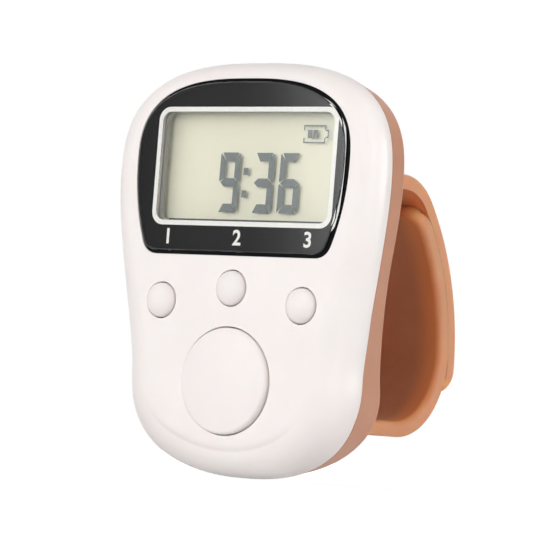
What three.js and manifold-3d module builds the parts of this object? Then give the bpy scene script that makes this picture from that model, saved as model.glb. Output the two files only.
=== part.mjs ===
// A digital tally counter worn on a finger: a white front shell with a display lens and four
// buttons, a tan back cover hollowed for the finger, and two silicone straps that close behind it.
// Millimetres, +Z up along the case, the front faces -Y, and +X is to the right seen from the front.
// The origin is on the flat finger seat of the back cover, in the middle of the case's width.
import * as THREE from "three";
import { ParametricGeometry } from "three/addons/geometries/ParametricGeometry.js";
import { mergeVertices } from "three/addons/utils/BufferGeometryUtils.js";
import Module from "manifold-3d";

const wasm = await Module();
wasm.setup();

// Case outline, seen from the front
const case_top = 15.2;
const case_bottom = -27.55;
const upper_half_width = 16.8;
const upper_width_height = 3.25;
const lower_half_width = 14.2;
const lower_width_height = -16.85;
const top_fullness_share = 2.75;
const bottom_fullness_share = 2.4;
const taper_handle_shares = [0.27, 0.12];

// Case depth, measured back from the front face, and the room left behind what the case holds
const chip_room = 0.13;
const cell_room = 1.75;
const heel_lift = 1.5;
const seat_low_end = -4;
const bulge_height = -20.5;
const seam_top_depth = 2.7;
const seam_bottom_depth = 5.05;
const seam_bend_share = 1.7;
const top_edge_radius = 2.4;
const bottom_edge_radius = 4.4;
const side_draft_share = 0.2;
const heel_handle_shares = [0.3, 0.5];
const bulge_handle_shares = [0.25, 0.42];

// Walls and running gaps
const side_wall = 1.3;
const plate = 1.6;
const back_wall = 1.1;
const boss_clearance = 0.15;
const overrun = 4;
const seat_gap = 0.1;

// Display lens
const lens_top_border = 2.23;
const lens_side_border = 3.68;
const lens_bottom = -4.6;
const lens_width_height = 4.8;
const lens_foot_share = 0.867;
const lens_corner = 1.3;
const lens_side_share = 0.2;
const lens_bend_share = 0.1;
const lens_thickness = 1.25;
const lens_fit_gap = 0.37;
const lens_stand = 0.4;
const adhesive = 0.12;

// Window and the display behind it
const window_width_share = 0.827;
const window_top_border = 2.97;
const window_foot_border = 3.25;
const window_corner = 1.1;
const shell_window_margin = 0.3;
const holder_side_margin = 1.35;
const holder_top_margin = 1.25;
const holder_foot_margin = 1.4;
const holder_corner = 1.6;
const holder_wall = 0.4;
const holder_lip = 0.55;
const film = 0.12;
const glass = 0.5;
const glass_edge_gap = 0.1;
const stack_gap = 0.03;
const guide_thickness = 0.42;
const zebra_height = 1.2;
const light_thickness = 0.7;
const light_width = 1.6;
const light_height = 0.8;
const light_offset = 2.3;
const light_gap = 0.12;
const guide_tab_gap = 0.2;

// Circuit board and what it carries
const board_thickness = 0.7;
const board_margin = 0.9;
const board_gap = 0.06;
const switch_size = 4;
const switch_height = 1;
const switch_floor = 0.1;
const plunger_radius = 0.75;
const plunger_length = 0.7;
const plunger_gap = 0.1;
const chip_radius = 3.2;
const chip_height = 0.42;
const chip_place = [0, 3];
const crystal_size = [3.2, 1.1, 1.5];
const crystal_place = [7.6, -10.6];
const capacitor_size = [1.6, 0.8, 0.8];
const capacitor_places = [[-6.6, -10.2], [-9.4, -10.2]];

// Buttons
const travel = 0.4;
const small_hole_radius = 1.93;
const small_button_gap = 0.18;
const small_dome = 0.65;
const small_rim = 0.1;
const outer_button_border = 6.29;
const outer_button_height = -9.8;
const middle_button_height = -8.3;
const count_hole_radius = 5.6;
const count_button_gap = 0.2;
const count_dome = 0.45;
const count_rim = 0.1;
const count_edge = 0.45;
const count_height = -17.8;
const flange_width = 0.42;
const flange_thickness = 0.5;
const stem_radius = 0.7;
const dish_half_width = 10.3;
const dish_half_height = 6.6;
const dish_height = -18.3;
const dish_depth = 0.5;
const dish_cap_share = 0.5;

// Battery
const cell_radius = 6.25;
const cell_thickness = 2;
const cell_foot_room = 1.95;
const cell_step = 0.35;
const cell_edge_gap = 0.15;
const cell_ring = 0.6;
const contact = 0.12;
const contact_width = 3;
const contact_reach = 4;

// Screws
const top_screw_share = 0.3;
const top_screw_border = 2.8;
const low_screw_height = -14.5;
const low_screw_border = 3.75;
const case_boss_radius = 0.95;
const case_screw_radius = 0.45;
const case_head_radius = 1.1;
const case_head_height = 0.7;
const case_head_recess = 0.2;
const thread_depth = 2.2;
const board_screw_height = -5;
const board_screw_border = 3.05;
const board_boss_radius = 1.1;
const board_head_radius = 0.9;
const board_head_height = 0.35;
const screw_slot = 0.3;
const slot_depth_share = 0.5;
const screw_gap = 0.05;

// Straps
const strap_half_width = 7.5;
const strap_thickness = 1.6;
const strap_edge = 0.35;
const strap_gap = 0.08;
const strap_corner = 2.6;
const tip_turn = 50;
const eye_radius = 1.15;
const eye_gap = 0.15;
const pin_radius = 0.6;
const pin_gap = 0.08;
const pin_reach = 1.1;
const lug_width = 1.5;
const lug_gap = 0.25;
const lug_radius = 1.45;
const upper_pin_height = 5;
const lower_pin_height = -21.2;
const shoulder_radius = 6;
const shoulder_start = 13.25;
const shoulder_turn = 47.5;
const back_radius = 25.5;
const heel_radius = 8.2;
const upper_strap_tail = 2.75;
const slot_half_width = 1.25;
const slot_top = 1.2;
const slot_bottom = -13;
const stud_radius = 1.05;
const stud_neck_radius = 0.75;
const stud_head = 0.45;
const stud_heights = [-4, -7.6];
const arc_step = 1.5;

// Sizes that follow from those above
const lens_top = case_top - lens_top_border;
const lens_half_width = upper_half_width - lens_side_border;
const lens_foot_half_width = lens_half_width * lens_foot_share;
const window_half_width = lens_half_width * window_width_share;
const window_top = lens_top - window_top_border;
const window_bottom = lens_bottom + window_foot_border;
const holder_half_width = window_half_width + holder_side_margin;
const holder_top = window_top + holder_top_margin;
const holder_bottom = window_bottom - holder_foot_margin;

// Depths of the stack from the display back to the battery
const holder_front = plate + seat_gap / 2;
const top_film_front = holder_front + holder_lip + stack_gap;
const top_glass_front = top_film_front + film + stack_gap;
const low_glass_front = top_glass_front + glass + stack_gap;
const low_film_front = low_glass_front + glass + stack_gap;
const guide_front = low_film_front + film + stack_gap;
const reflector_front = guide_front + guide_thickness + stack_gap;
const board_front = reflector_front + film + board_gap;
const board_back = board_front + board_thickness;
const negative_front = board_back + stack_gap;
const cell_front = negative_front + contact + stack_gap;
const cell_back = cell_front + cell_thickness;
const clip_back = cell_back + stack_gap + contact;
const switch_front = board_front - board_gap - switch_height;
const plunger_back = board_front - board_gap - switch_floor - travel;
const plunger_front = plunger_back - plunger_length;
const flange_front = plate + seat_gap;
const lens_back = lens_thickness - lens_stand;
const pocket_depth = lens_back + adhesive + 2 * stack_gap;
const seat_depth = negative_front + chip_height + chip_room + back_wall;
const bulge_depth = clip_back + cell_room + back_wall;
const heel_depth = bulge_depth - heel_lift;
const cell_height = case_bottom + cell_foot_room + cell_radius;

// Colours and finishes, as colour, roughness and metalness
const finishes = {
  white: [0xf3ebe8, 0.42, 0],
  tan: [0xc9987c, 0.5, 0],
  silicone: [0xcf9068, 0.6, 0],
  smoked: [0x1c1c1e, 0.12, 0],
  clear: [0xd9dcc8, 0.15, 0],
  film: [0xb9bda6, 0.3, 0],
  holder: [0xe6e6e2, 0.5, 0],
  board: [0x1f6b3a, 0.5, 0],
  rubber: [0x3a3a3c, 0.8, 0],
  black: [0x202022, 0.4, 0],
  steel: [0xc4c6c8, 0.3, 1],
  brass: [0xb89b5a, 0.35, 1],
  ceramic: [0xc9b38a, 0.5, 0],
};

const front = -seat_depth;

// A y coordinate from a depth behind the front face.
function at(depth) {
  return front + depth;
}

// A closed geometry as a manifold-3d solid, with its faces turned outwards.
function solid(geometry) {
  const bare = new THREE.BufferGeometry();
  const plain = geometry.index ? geometry.toNonIndexed() : geometry;
  bare.setAttribute("position", plain.getAttribute("position"));
  const merged = mergeVertices(bare, 1e-4);
  const kept = [];
  const index = merged.index.array;
  for (let i = 0; i < index.length; i += 3) {
    const [a, b, c] = [index[i], index[i + 1], index[i + 2]];
    if (a !== b && b !== c && c !== a) kept.push(a, b, c);
  }
  const make = (triangles) =>
    new wasm.Manifold(
      new wasm.Mesh({
        numProp: 3,
        vertProperties: merged.attributes.position.array,
        triVerts: new Uint32Array(triangles),
      }),
    );
  const made = make(kept);
  if (made.volume() > 0) return made;
  const turned = [];
  for (let i = 0; i < kept.length; i += 3) turned.push(kept[i], kept[i + 2], kept[i + 1]);
  return make(turned);
}

// A box from its two corners.
function box(x0, x1, y0, y1, z0, z1) {
  const geometry = new THREE.BoxGeometry(x1 - x0, y1 - y0, z1 - z0);
  return solid(geometry.translate((x0 + x1) / 2, (y0 + y1) / 2, (z0 + z1) / 2));
}

// A round bar along Y, from one y to another.
function barY(x, z, radius, y0, y1, sides = 32) {
  const geometry = new THREE.CylinderGeometry(radius, radius, y1 - y0, sides);
  return solid(geometry.translate(x, (y0 + y1) / 2, z));
}

// A round bar along X, centred on the case.
function barX(y, z, radius, half_length, sides = 24) {
  const geometry = new THREE.CylinderGeometry(radius, radius, 2 * half_length, sides);
  return solid(geometry.rotateZ(Math.PI / 2).translate(0, y, z));
}

// A shape drawn in x and z, extruded along Y.
function extrudeY(shape, y0, y1, curve_steps = 4) {
  const options = { depth: y1 - y0, bevelEnabled: false, curveSegments: curve_steps };
  const geometry = new THREE.ExtrudeGeometry(shape, options);
  return solid(geometry.rotateX(Math.PI / 2).translate(0, y1, 0));
}

// A shape drawn in y and z, extruded along X, with its edges eased when a size is given.
function extrudeX(shape, x0, x1, ease = 0, curve_steps = 6) {
  const options = {
    depth: x1 - x0 - 2 * ease,
    bevelEnabled: ease > 0,
    bevelThickness: ease,
    bevelSize: ease,
    bevelOffset: -ease,
    bevelSegments: 1,
    curveSegments: curve_steps,
  };
  const turn = new THREE.Matrix4().makeBasis(
    new THREE.Vector3(0, 1, 0),
    new THREE.Vector3(0, 0, 1),
    new THREE.Vector3(1, 0, 0),
  );
  const geometry = new THREE.ExtrudeGeometry(shape, options);
  return solid(geometry.applyMatrix4(turn).translate(x0 + ease, 0, 0));
}

// A turned piece with its axis along Y, from points of radius and depth.
function turned(x, z, points, sides) {
  const profile = points.map(([radius, depth]) => new THREE.Vector2(radius, at(depth)));
  return solid(new THREE.LatheGeometry(profile, sides).translate(x, 0, z));
}

// A rectangle with round corners, in x and z.
function roundedRectangle(half_width, bottom, top, corner) {
  const shape = new THREE.Shape();
  shape.moveTo(-half_width + corner, bottom);
  shape.lineTo(half_width - corner, bottom);
  shape.absarc(half_width - corner, bottom + corner, corner, -Math.PI / 2, 0);
  shape.absarc(half_width - corner, top - corner, corner, 0, Math.PI / 2);
  shape.absarc(-half_width + corner, top - corner, corner, Math.PI / 2, Math.PI);
  shape.absarc(-half_width + corner, bottom + corner, corner, Math.PI, (3 * Math.PI) / 2);
  return shape;
}

// A quarter of a rounded square: 0 is out to the side, 1 is on the middle line.
function fullQuarter(half_width, height, fullness, share) {
  const angle = (share * Math.PI) / 2;
  const x = half_width * Math.cos(angle) ** (2 / fullness);
  return [Math.max(x, 0), height * Math.sin(angle) ** (2 / fullness)];
}

const outline_count = 72;
const outline_half_steps = 60;

// The right half of the case outline from top to bottom, as x and z.
function halfOutline(steps) {
  const points = [];
  for (let i = steps; i > 0; i -= 1) {
    const height = case_top - upper_width_height;
    const [x, z] = fullQuarter(upper_half_width, height, top_fullness_share, i / steps);
    points.push(new THREE.Vector2(x, upper_width_height + z));
  }
  const fall = upper_width_height - lower_width_height;
  const side = new THREE.CubicBezierCurve(
    new THREE.Vector2(upper_half_width, upper_width_height),
    new THREE.Vector2(upper_half_width, upper_width_height - fall * taper_handle_shares[0]),
    new THREE.Vector2(lower_half_width, lower_width_height + fall * taper_handle_shares[1]),
    new THREE.Vector2(lower_half_width, lower_width_height),
  );
  points.push(...side.getPoints(steps));
  for (let i = 1; i <= steps; i += 1) {
    const height = lower_width_height - case_bottom;
    const [x, z] = fullQuarter(lower_half_width, height, bottom_fullness_share, i / steps);
    points.push(new THREE.Vector2(x, lower_width_height - z));
  }
  return points;
}

// The whole outline, evenly spaced, each point with its outward direction.
function caseOutline(count) {
  const half = halfOutline(outline_half_steps);
  const other = half.slice(1, -1).reverse().map((p) => new THREE.Vector2(-p.x, p.y));
  const loop = new THREE.Path().setFromPoints([...half, ...other, half[0]]);
  const points = loop.getSpacedPoints(count).slice(0, count);
  return points.map((point, i) => {
    const before = points[(i + count - 1) % count];
    const after = points[(i + 1) % count];
    const along = after.clone().sub(before).normalize();
    return { point, out: new THREE.Vector2(-along.y, along.x) };
  });
}

const outline = caseOutline(outline_count);

// The case's half width at a height.
function halfWidthAt(z) {
  const points = halfOutline(outline_half_steps);
  const i = points.findIndex((point) => point.y <= z);
  const [above, below] = [points[i - 1], points[i]];
  return THREE.MathUtils.mapLinear(z, above.y, below.y, above.x, below.x);
}

function shareDown(z) {
  return THREE.MathUtils.clamp((case_top - z) / (case_top - case_bottom), 0, 1);
}

function seamDepth(z) {
  const drop = seam_bottom_depth - seam_top_depth;
  return seam_top_depth + drop * shareDown(z) ** seam_bend_share;
}

function edgeRadius(z) {
  const down = THREE.MathUtils.smoothstep(-z, -upper_width_height, -bulge_height);
  return THREE.MathUtils.lerp(top_edge_radius, bottom_edge_radius, down);
}

// The case's outer form, or one inset from it, open-ended at the back: it is cut to depth later.
function hull(inset, start_depth, round_steps) {
  const end_depth = bulge_depth + overrun;
  const rings = round_steps + 4;
  const middle = (case_top + case_bottom) / 2;
  const place = (u, v, target) => {
    const { point, out } = outline[Math.round(u * outline_count) % outline_count];
    const ring = Math.round(v * rings);
    const radius = Math.max(edgeRadius(point.y) - inset, top_edge_radius - side_wall);
    if (ring === 0) return target.set(0, at(start_depth), middle);
    if (ring === rings) return target.set(0, at(end_depth), middle);
    let depth = end_depth;
    let inward = inset + side_draft_share * (end_depth - seamDepth(point.y));
    if (ring <= round_steps + 1) {
      const angle = (((ring - 1) / round_steps) * Math.PI) / 2;
      depth = start_depth + radius * (1 - Math.cos(angle));
      inward = inset + radius * (1 - Math.sin(angle));
    } else if (ring === round_steps + 2) {
      depth = Math.max(seamDepth(point.y), start_depth + radius);
      inward = inset;
    }
    return target.set(point.x - out.x * inward, at(depth), point.y - out.y * inward);
  };
  return solid(new ParametricGeometry(place, outline_count, rings));
}

// What lies in front of the seam, as a block cut along the seam's curve.
function frontRegion() {
  const shape = new THREE.Shape();
  const steps = 14;
  shape.moveTo(at(-overrun), case_bottom - overrun);
  shape.lineTo(at(-overrun), case_top + overrun);
  shape.lineTo(at(seam_top_depth), case_top + overrun);
  for (let i = 0; i <= steps; i += 1) {
    const z = THREE.MathUtils.lerp(case_top, case_bottom, i / steps);
    shape.lineTo(at(seamDepth(z)), z);
  }
  shape.lineTo(at(seam_bottom_depth), case_bottom - overrun);
  return extrudeX(shape, -upper_half_width - overrun, upper_half_width + overrun);
}

// What lies in front of the back face, which is flat at the finger and bulges below it.
function depthRegion(inset) {
  const shape = new THREE.Shape();
  const seat = at(seat_depth - inset);
  const bulge = at(bulge_depth - inset);
  const heel = at(heel_depth - inset);
  const fall = seat_low_end - bulge_height;
  const rest = bulge_height - case_bottom;
  shape.moveTo(at(-overrun), case_top + overrun);
  shape.lineTo(at(-overrun), case_bottom - overrun);
  shape.lineTo(heel, case_bottom - overrun);
  shape.lineTo(heel, case_bottom);
  const [from_heel, to_bulge] = heel_handle_shares.map((share) => share * rest);
  const [from_bulge, to_seat] = bulge_handle_shares.map((share) => share * fall);
  shape.bezierCurveTo(heel, case_bottom + from_heel, bulge, bulge_height - to_bulge, bulge, bulge_height);
  shape.bezierCurveTo(bulge, bulge_height + from_bulge, seat, seat_low_end - to_seat, seat, seat_low_end);
  shape.lineTo(seat, case_top + overrun);
  return extrudeX(shape, -upper_half_width - overrun, upper_half_width + overrun, 0, 9);
}

// The lens's outline grown by a margin: arched at the top, drawn in towards its foot.
function lensShape(margin) {
  const shape = new THREE.Shape();
  const steps = 12;
  const wide = lens_half_width + margin;
  const high = lens_top + margin - lens_width_height;
  const arch = [];
  for (let i = 0; i <= steps; i += 1) arch.push(fullQuarter(wide, high, top_fullness_share, i / steps));
  shape.moveTo(wide, lens_width_height);
  for (const [x, z] of arch) shape.lineTo(x, lens_width_height + z);
  for (const [x, z] of arch.reverse()) shape.lineTo(-x, lens_width_height + z);
  const foot = lens_foot_half_width + margin;
  const bottom = lens_bottom - margin;
  const side = foot + (wide - foot) * lens_side_share;
  const bend = lens_width_height * lens_bend_share;
  shape.quadraticCurveTo(-wide, bend, -side, bottom + lens_corner);
  shape.quadraticCurveTo(-foot, bottom, -foot + lens_corner, bottom);
  shape.lineTo(foot - lens_corner, bottom);
  shape.quadraticCurveTo(foot, bottom, side, bottom + lens_corner);
  shape.quadraticCurveTo(wide, bend, wide, lens_width_height);
  return shape;
}

const outer_button_offset = halfWidthAt(outer_button_height) - outer_button_border;
const button_places = {
  reset: [-outer_button_offset, outer_button_height],
  lock: [0, middle_button_height],
  light: [outer_button_offset, outer_button_height],
  count: [0, count_height],
};
const case_screw_places = [
  [upper_half_width * top_screw_share, case_top - top_screw_border],
  [halfWidthAt(low_screw_height) - low_screw_border, low_screw_height],
];
const board_screw_place = [halfWidthAt(board_screw_height) - board_screw_border, board_screw_height];

// The hollow inside the case
const hollow = hull(side_wall, plate, 3).intersect(depthRegion(back_wall));

// Round bars along Y at places given once and mirrored in X.
function mirroredBars(places, radius, depth0, depth1) {
  const bars = places.flatMap(([x, z]) => [
    barY(x, z, radius, at(depth0), at(depth1), 20),
    barY(-x, z, radius, at(depth0), at(depth1), 20),
  ]);
  return bars.reduce((joined, bar) => joined.add(bar));
}

function dishCutter() {
  const deep = dish_depth / (1 - Math.sqrt(1 - dish_cap_share ** 2));
  const ball = new THREE.SphereGeometry(1, 44, 60);
  ball.scale(dish_half_width / dish_cap_share, deep, dish_half_height / dish_cap_share);
  return solid(ball.translate(0, at(dish_depth - deep), dish_height));
}

function frontShell() {
  const boss_room = hull(side_wall + boss_clearance, plate / 2, 3);
  const pilot = case_screw_radius + screw_gap;
  const case_end = board_back - seat_gap;
  const board_end = board_front - seat_gap;
  const posts = mirroredBars(case_screw_places, case_boss_radius, plate / 2, case_end).add(
    mirroredBars([board_screw_place], board_boss_radius, plate / 2, board_end),
  );
  let shell = hull(0, 0, 5).intersect(frontRegion()).subtract(hollow);
  shell = shell.add(posts.intersect(boss_room));
  shell = shell.subtract(mirroredBars(case_screw_places, pilot, case_end - thread_depth, bulge_depth));
  shell = shell.subtract(mirroredBars([board_screw_place], pilot, board_end - thread_depth, bulge_depth));
  shell = shell.subtract(dishCutter());
  shell = shell.subtract(extrudeY(lensShape(lens_fit_gap), at(-overrun), at(pocket_depth)));
  shell = shell.subtract(extrudeY(windowShape(shell_window_margin), at(-overrun), at(plate + seat_gap)));
  for (const [name, [x, z]] of Object.entries(button_places)) {
    const radius = name === "count" ? count_hole_radius : small_hole_radius;
    const sides = name === "count" ? 48 : 28;
    shell = shell.subtract(barY(x, z, radius, at(-overrun), at(plate + seat_gap), sides));
  }
  return shell;
}

function windowShape(margin) {
  return roundedRectangle(
    window_half_width + margin,
    window_bottom - margin,
    window_top + margin,
    window_corner,
  );
}

function displayLens() {
  return extrudeY(lensShape(0), at(-lens_stand), at(lens_back));
}

function lensAdhesive() {
  const ring = extrudeY(lensShape(-seat_gap), at(lens_back + stack_gap), at(lens_back + stack_gap + adhesive));
  return ring.subtract(extrudeY(windowShape(shell_window_margin), at(0), at(plate)));
}

// A button turned about its own axis: domed cap, flange behind the shell, and a stem.
function button([x, z], cap_radius, rim_depth, dome, edge, sides) {
  const steps = 5;
  const points = [];
  for (let i = 0; i <= steps; i += 1) {
    const share = i / steps;
    const radius = (cap_radius - edge) * share;
    points.push([radius, rim_depth - edge - dome * (1 - share ** 2)]);
  }
  for (let i = 1; i <= 2; i += 1) {
    const angle = (i / 2) * (Math.PI / 2);
    points.push([cap_radius - edge + edge * Math.sin(angle), rim_depth - edge * Math.cos(angle)]);
  }
  const flange_radius = cap_radius + flange_width;
  const flange_back = flange_front + flange_thickness;
  const stem_back = plunger_front - stack_gap;
  points.push([cap_radius, flange_front], [flange_radius, flange_front], [flange_radius, flange_back]);
  points.push([stem_radius, flange_back], [stem_radius, stem_back], [0, stem_back]);
  return turned(x, z, points, sides);
}

function smallButton(place) {
  return button(place, small_hole_radius - small_button_gap, -small_rim, small_dome, small_rim, 28);
}

function countButton() {
  const cap = count_hole_radius - count_button_gap;
  return button(button_places.count, cap, count_edge - count_rim, count_dome, count_edge, 48);
}

function switchBody([x, z]) {
  const half = switch_size / 2;
  const block = box(x - half, x + half, at(switch_front), at(board_front - board_gap), z - half, z + half);
  const floor = board_front - board_gap - switch_floor;
  return block.subtract(barY(x, z, plunger_radius + plunger_gap, at(0), at(floor), 24));
}

function switchPlunger([x, z]) {
  return barY(x, z, plunger_radius, at(plunger_front), at(plunger_back), 24);
}

function displayHolder() {
  const corner = holder_corner;
  const outer = roundedRectangle(holder_half_width, holder_bottom, holder_top, corner);
  const body = extrudeY(outer, at(holder_front), at(board_front - board_gap));
  const half = holder_half_width - holder_wall;
  const room = roundedRectangle(half, holder_bottom + holder_wall, holder_top - holder_wall, corner - holder_wall);
  const pocket = extrudeY(room, at(holder_front + holder_lip), at(board_front + overrun));
  const opening = extrudeY(windowShape(0), at(0), at(board_front));
  let holder = body.subtract(pocket).subtract(opening);
  for (const side of [-1, 1]) {
    const middle = side * light_offset;
    const wide = light_width / 2 + guide_tab_gap;
    const notch = box(middle - wide, middle + wide, at(guide_front - stack_gap), at(board_front + overrun),
      holder_top - 2 * holder_wall, holder_top + overrun);
    holder = holder.subtract(notch);
  }
  return holder;
}

// A flat layer of the display, inside the holder, from its lower edge up.
function displayLayer(depth, thickness, lower_edge = 0) {
  const margin = holder_wall + glass_edge_gap;
  const bottom = holder_bottom + margin + lower_edge;
  const shape = roundedRectangle(holder_half_width - margin, bottom, holder_top - margin, holder_corner - holder_wall);
  return extrudeY(shape, at(depth), at(depth + thickness), 4);
}

const ledge = zebra_height + 2 * glass_edge_gap;

function lightGuide() {
  let guide = displayLayer(guide_front, guide_thickness, ledge);
  const top = holder_top + light_gap / 2;
  for (const side of [-1, 1]) {
    const middle = side * light_offset;
    const tab = box(middle - light_width / 2, middle + light_width / 2, at(guide_front),
      at(guide_front + guide_thickness), holder_top - holder_corner, top);
    guide = guide.add(tab);
  }
  return guide;
}

function zebraStrip() {
  const half = holder_half_width - holder_corner;
  const bottom = holder_bottom + holder_wall + glass_edge_gap;
  const front_face = at(low_glass_front);
  return box(-half, half, front_face, at(board_front - stack_gap), bottom, bottom + zebra_height);
}

function backlight(side) {
  const middle = side * light_offset;
  const bottom = holder_top + light_gap;
  const back = board_front - board_gap;
  return box(middle - light_width / 2, middle + light_width / 2, at(back - light_thickness), at(back),
    bottom, bottom + light_height);
}

// The circuit board follows the case outline, with notches for the posts that pass it.
function circuitBoard() {
  const inset = side_wall + board_margin;
  const rim = outline.map(({ point, out }) => point.clone().addScaledVector(out, -inset));
  let board = extrudeY(new THREE.Shape(rim), at(board_front), at(board_back));
  board = board.subtract(mirroredBars(case_screw_places, case_boss_radius + seat_gap * 2, 0, bulge_depth));
  return board.subtract(mirroredBars([board_screw_place], case_screw_radius + screw_gap, 0, bulge_depth));
}

function controllerChip() {
  const [x, z] = chip_place;
  const base = negative_front;
  const points = [[0, base], [chip_radius, base]];
  const steps = 4;
  for (let i = 1; i <= steps; i += 1) {
    const angle = (i / steps) * (Math.PI / 2);
    points.push([chip_radius * Math.cos(angle) ** 0.5, base + chip_height * Math.sin(angle)]);
  }
  return turned(x, z, points, 24);
}

// A part soldered on the back of the board, as width, depth and height.
function boardPart([x, z], [wide, deep, high]) {
  const near = negative_front;
  return box(x - wide / 2, x + wide / 2, at(near), at(near + deep), z - high / 2, z + high / 2);
}

function batteryCell() {
  const small = cell_radius - cell_step;
  const points = [[0, cell_front], [small, cell_front], [small, cell_front + cell_step]];
  points.push([cell_radius, cell_front + cell_step], [cell_radius, cell_back], [0, cell_back]);
  return turned(0, cell_height, points, 48);
}

function negativeContact() {
  const half = contact_width / 2;
  return box(-half, half, at(negative_front), at(negative_front + contact), cell_height - contact_reach,
    cell_height + contact_reach);
}

// The clip stands on the board beside the cell and lies over its back.
function positiveContact() {
  const half = contact_width / 2;
  const near = cell_radius + cell_edge_gap;
  const over = cell_back + stack_gap;
  const leg = box(near, near + contact, at(negative_front), at(over + contact), cell_height - half,
    cell_height + half);
  const arm = box(near - contact_reach, near + contact, at(over), at(over + contact), cell_height - half,
    cell_height + half);
  return leg.add(arm);
}

const upper_pin_y = eye_radius + eye_gap;
const lower_pin_y = at(bulge_depth) + eye_radius + eye_gap;
const pin_half_length = strap_half_width + lug_gap + pin_reach;

// An ear on the back face that holds one end of a strap pin.
function lug(side, pin_y, pin_z, root_y) {
  const shape = new THREE.Shape();
  const root = root_y - back_wall / 2;
  shape.moveTo(root, pin_z + lug_radius);
  shape.lineTo(root, pin_z - lug_radius);
  shape.lineTo(pin_y, pin_z - lug_radius);
  shape.absarc(pin_y, pin_z, lug_radius, -Math.PI / 2, Math.PI / 2);
  const inner = strap_half_width + lug_gap;
  const outer = inner + lug_width;
  return side > 0 ? extrudeX(shape, inner, outer) : extrudeX(shape, -outer, -inner);
}

// How far behind the front face the back lies at a height.
function backDepth(z) {
  const thin = side_wall;
  const probe = box(-thin, thin, at(0), at(bulge_depth + overrun), z - thin, z + thin);
  return probe.intersect(depthRegion(0)).boundingBox().max[1] - front;
}

function headBack([, z]) {
  return backDepth(z) - case_head_recess;
}

// A ring inside the back cover that keeps the battery in its place, open beside the clip.
function cellRing() {
  const clip_corner = Math.hypot(cell_radius + cell_edge_gap + contact, contact_width / 2);
  const inner = clip_corner + cell_edge_gap;
  const ring = barY(0, cell_height, inner + cell_ring, at(board_back + seat_gap), at(bulge_depth), 48);
  const bore = barY(0, cell_height, inner, at(0), at(bulge_depth + overrun), 48);
  const side_room = hull(side_wall / 2, 0, 4).intersect(depthRegion(back_wall / 2));
  return ring.subtract(bore).intersect(side_room);
}

function backCover() {
  const outside = hull(0, 0, 5).intersect(depthRegion(0)).subtract(frontRegion());
  const post_radius = case_head_radius + side_wall / 2;
  const posts = mirroredBars(case_screw_places, post_radius, board_back + seat_gap, bulge_depth);
  let cover = outside.subtract(hollow).add(posts.intersect(outside)).add(cellRing().intersect(outside));
  for (const side of [-1, 1]) {
    cover = cover.add(lug(side, upper_pin_y, upper_pin_height, 0));
    cover = cover.add(lug(side, lower_pin_y, lower_pin_height, at(bulge_depth)));
  }
  const reach = pin_half_length + pin_gap;
  cover = cover.subtract(barX(upper_pin_y, upper_pin_height, pin_radius + pin_gap, reach));
  cover = cover.subtract(barX(lower_pin_y, lower_pin_height, pin_radius + pin_gap, reach));
  const far = bulge_depth + overrun;
  cover = cover.subtract(mirroredBars(case_screw_places, case_screw_radius + screw_gap, 0, far));
  for (const place of case_screw_places) {
    const seat = headBack(place) - case_head_height - screw_gap;
    cover = cover.subtract(mirroredBars([place], case_head_radius + screw_gap, seat, far));
  }
  return cover;
}

// A screw from behind: a flat head with a driver slot, and a shank reaching forward.
function screw(x, z, head_radius, head_height, head_back, tip_depth) {
  const seat = head_back - head_height;
  const points = [[0, tip_depth], [case_screw_radius, tip_depth], [case_screw_radius, seat]];
  points.push([head_radius, seat], [head_radius, head_back], [0, head_back]);
  const deep = head_height * slot_depth_share;
  const half = screw_slot / 2;
  const groove = box(x - head_radius * 2, x + head_radius * 2, at(head_back - deep), at(head_back + deep),
    z - half, z + half);
  return turned(x, z, points, 20).subtract(groove);
}

function caseScrew(place, side) {
  const tip = board_back - seat_gap - thread_depth + 2 * screw_gap;
  return screw(side * place[0], place[1], case_head_radius, case_head_height, headBack(place), tip);
}

function boardScrew(side) {
  const [x, z] = board_screw_place;
  const tip = board_front - seat_gap - thread_depth + 2 * screw_gap;
  const head_back = board_back + stack_gap + board_head_height;
  return screw(side * x, z, board_head_radius, board_head_height, head_back, tip);
}

function radians(degrees) {
  return THREE.MathUtils.degToRad(degrees);
}

// The straps' common curves, each a centre, a radius and a start and an end angle
const shoulder_angle = 90 - shoulder_turn;
const shoulder = { y: shoulder_start, z: upper_pin_height - shoulder_radius, r: shoulder_radius };
const bend_y = Math.cos(radians(shoulder_angle));
const bend_z = Math.sin(radians(shoulder_angle));
const back = {
  y: shoulder.y + (shoulder_radius - back_radius) * bend_y,
  z: shoulder.z + (shoulder_radius - back_radius) * bend_z,
  r: back_radius,
};
const inner_shift = strap_thickness + strap_gap;
const upper_strap_end = back.z - upper_strap_tail;
const heel_reach = back.r - inner_shift - heel_radius;
const heel_height = lower_pin_height + heel_radius;
const heel_turn = Math.asin((heel_height - back.z) / heel_reach);
const heel_angle = THREE.MathUtils.radToDeg(heel_turn);
const heel = { y: back.y + heel_reach * Math.cos(heel_turn), z: heel_height, r: heel_radius };

function arcPoints(curve, radius, from, to) {
  const steps = Math.ceil((radians(Math.abs(to - from)) * radius) / arc_step);
  const points = [];
  for (let i = 0; i <= steps; i += 1) {
    const angle = radians(THREE.MathUtils.lerp(from, to, i / steps));
    points.push(new THREE.Vector2(curve.y + radius * Math.cos(angle), curve.z + radius * Math.sin(angle)));
  }
  return points;
}

// One face of the upper strap, at an offset from its middle.
function upperFace(offset) {
  return [
    new THREE.Vector2(upper_pin_y, upper_pin_height + offset),
    ...arcPoints(shoulder, shoulder.r + offset, 90, shoulder_angle),
    ...arcPoints(back, back.r + offset, shoulder_angle, 0).slice(1),
    new THREE.Vector2(back.y + back.r + offset, upper_strap_end),
  ];
}

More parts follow.
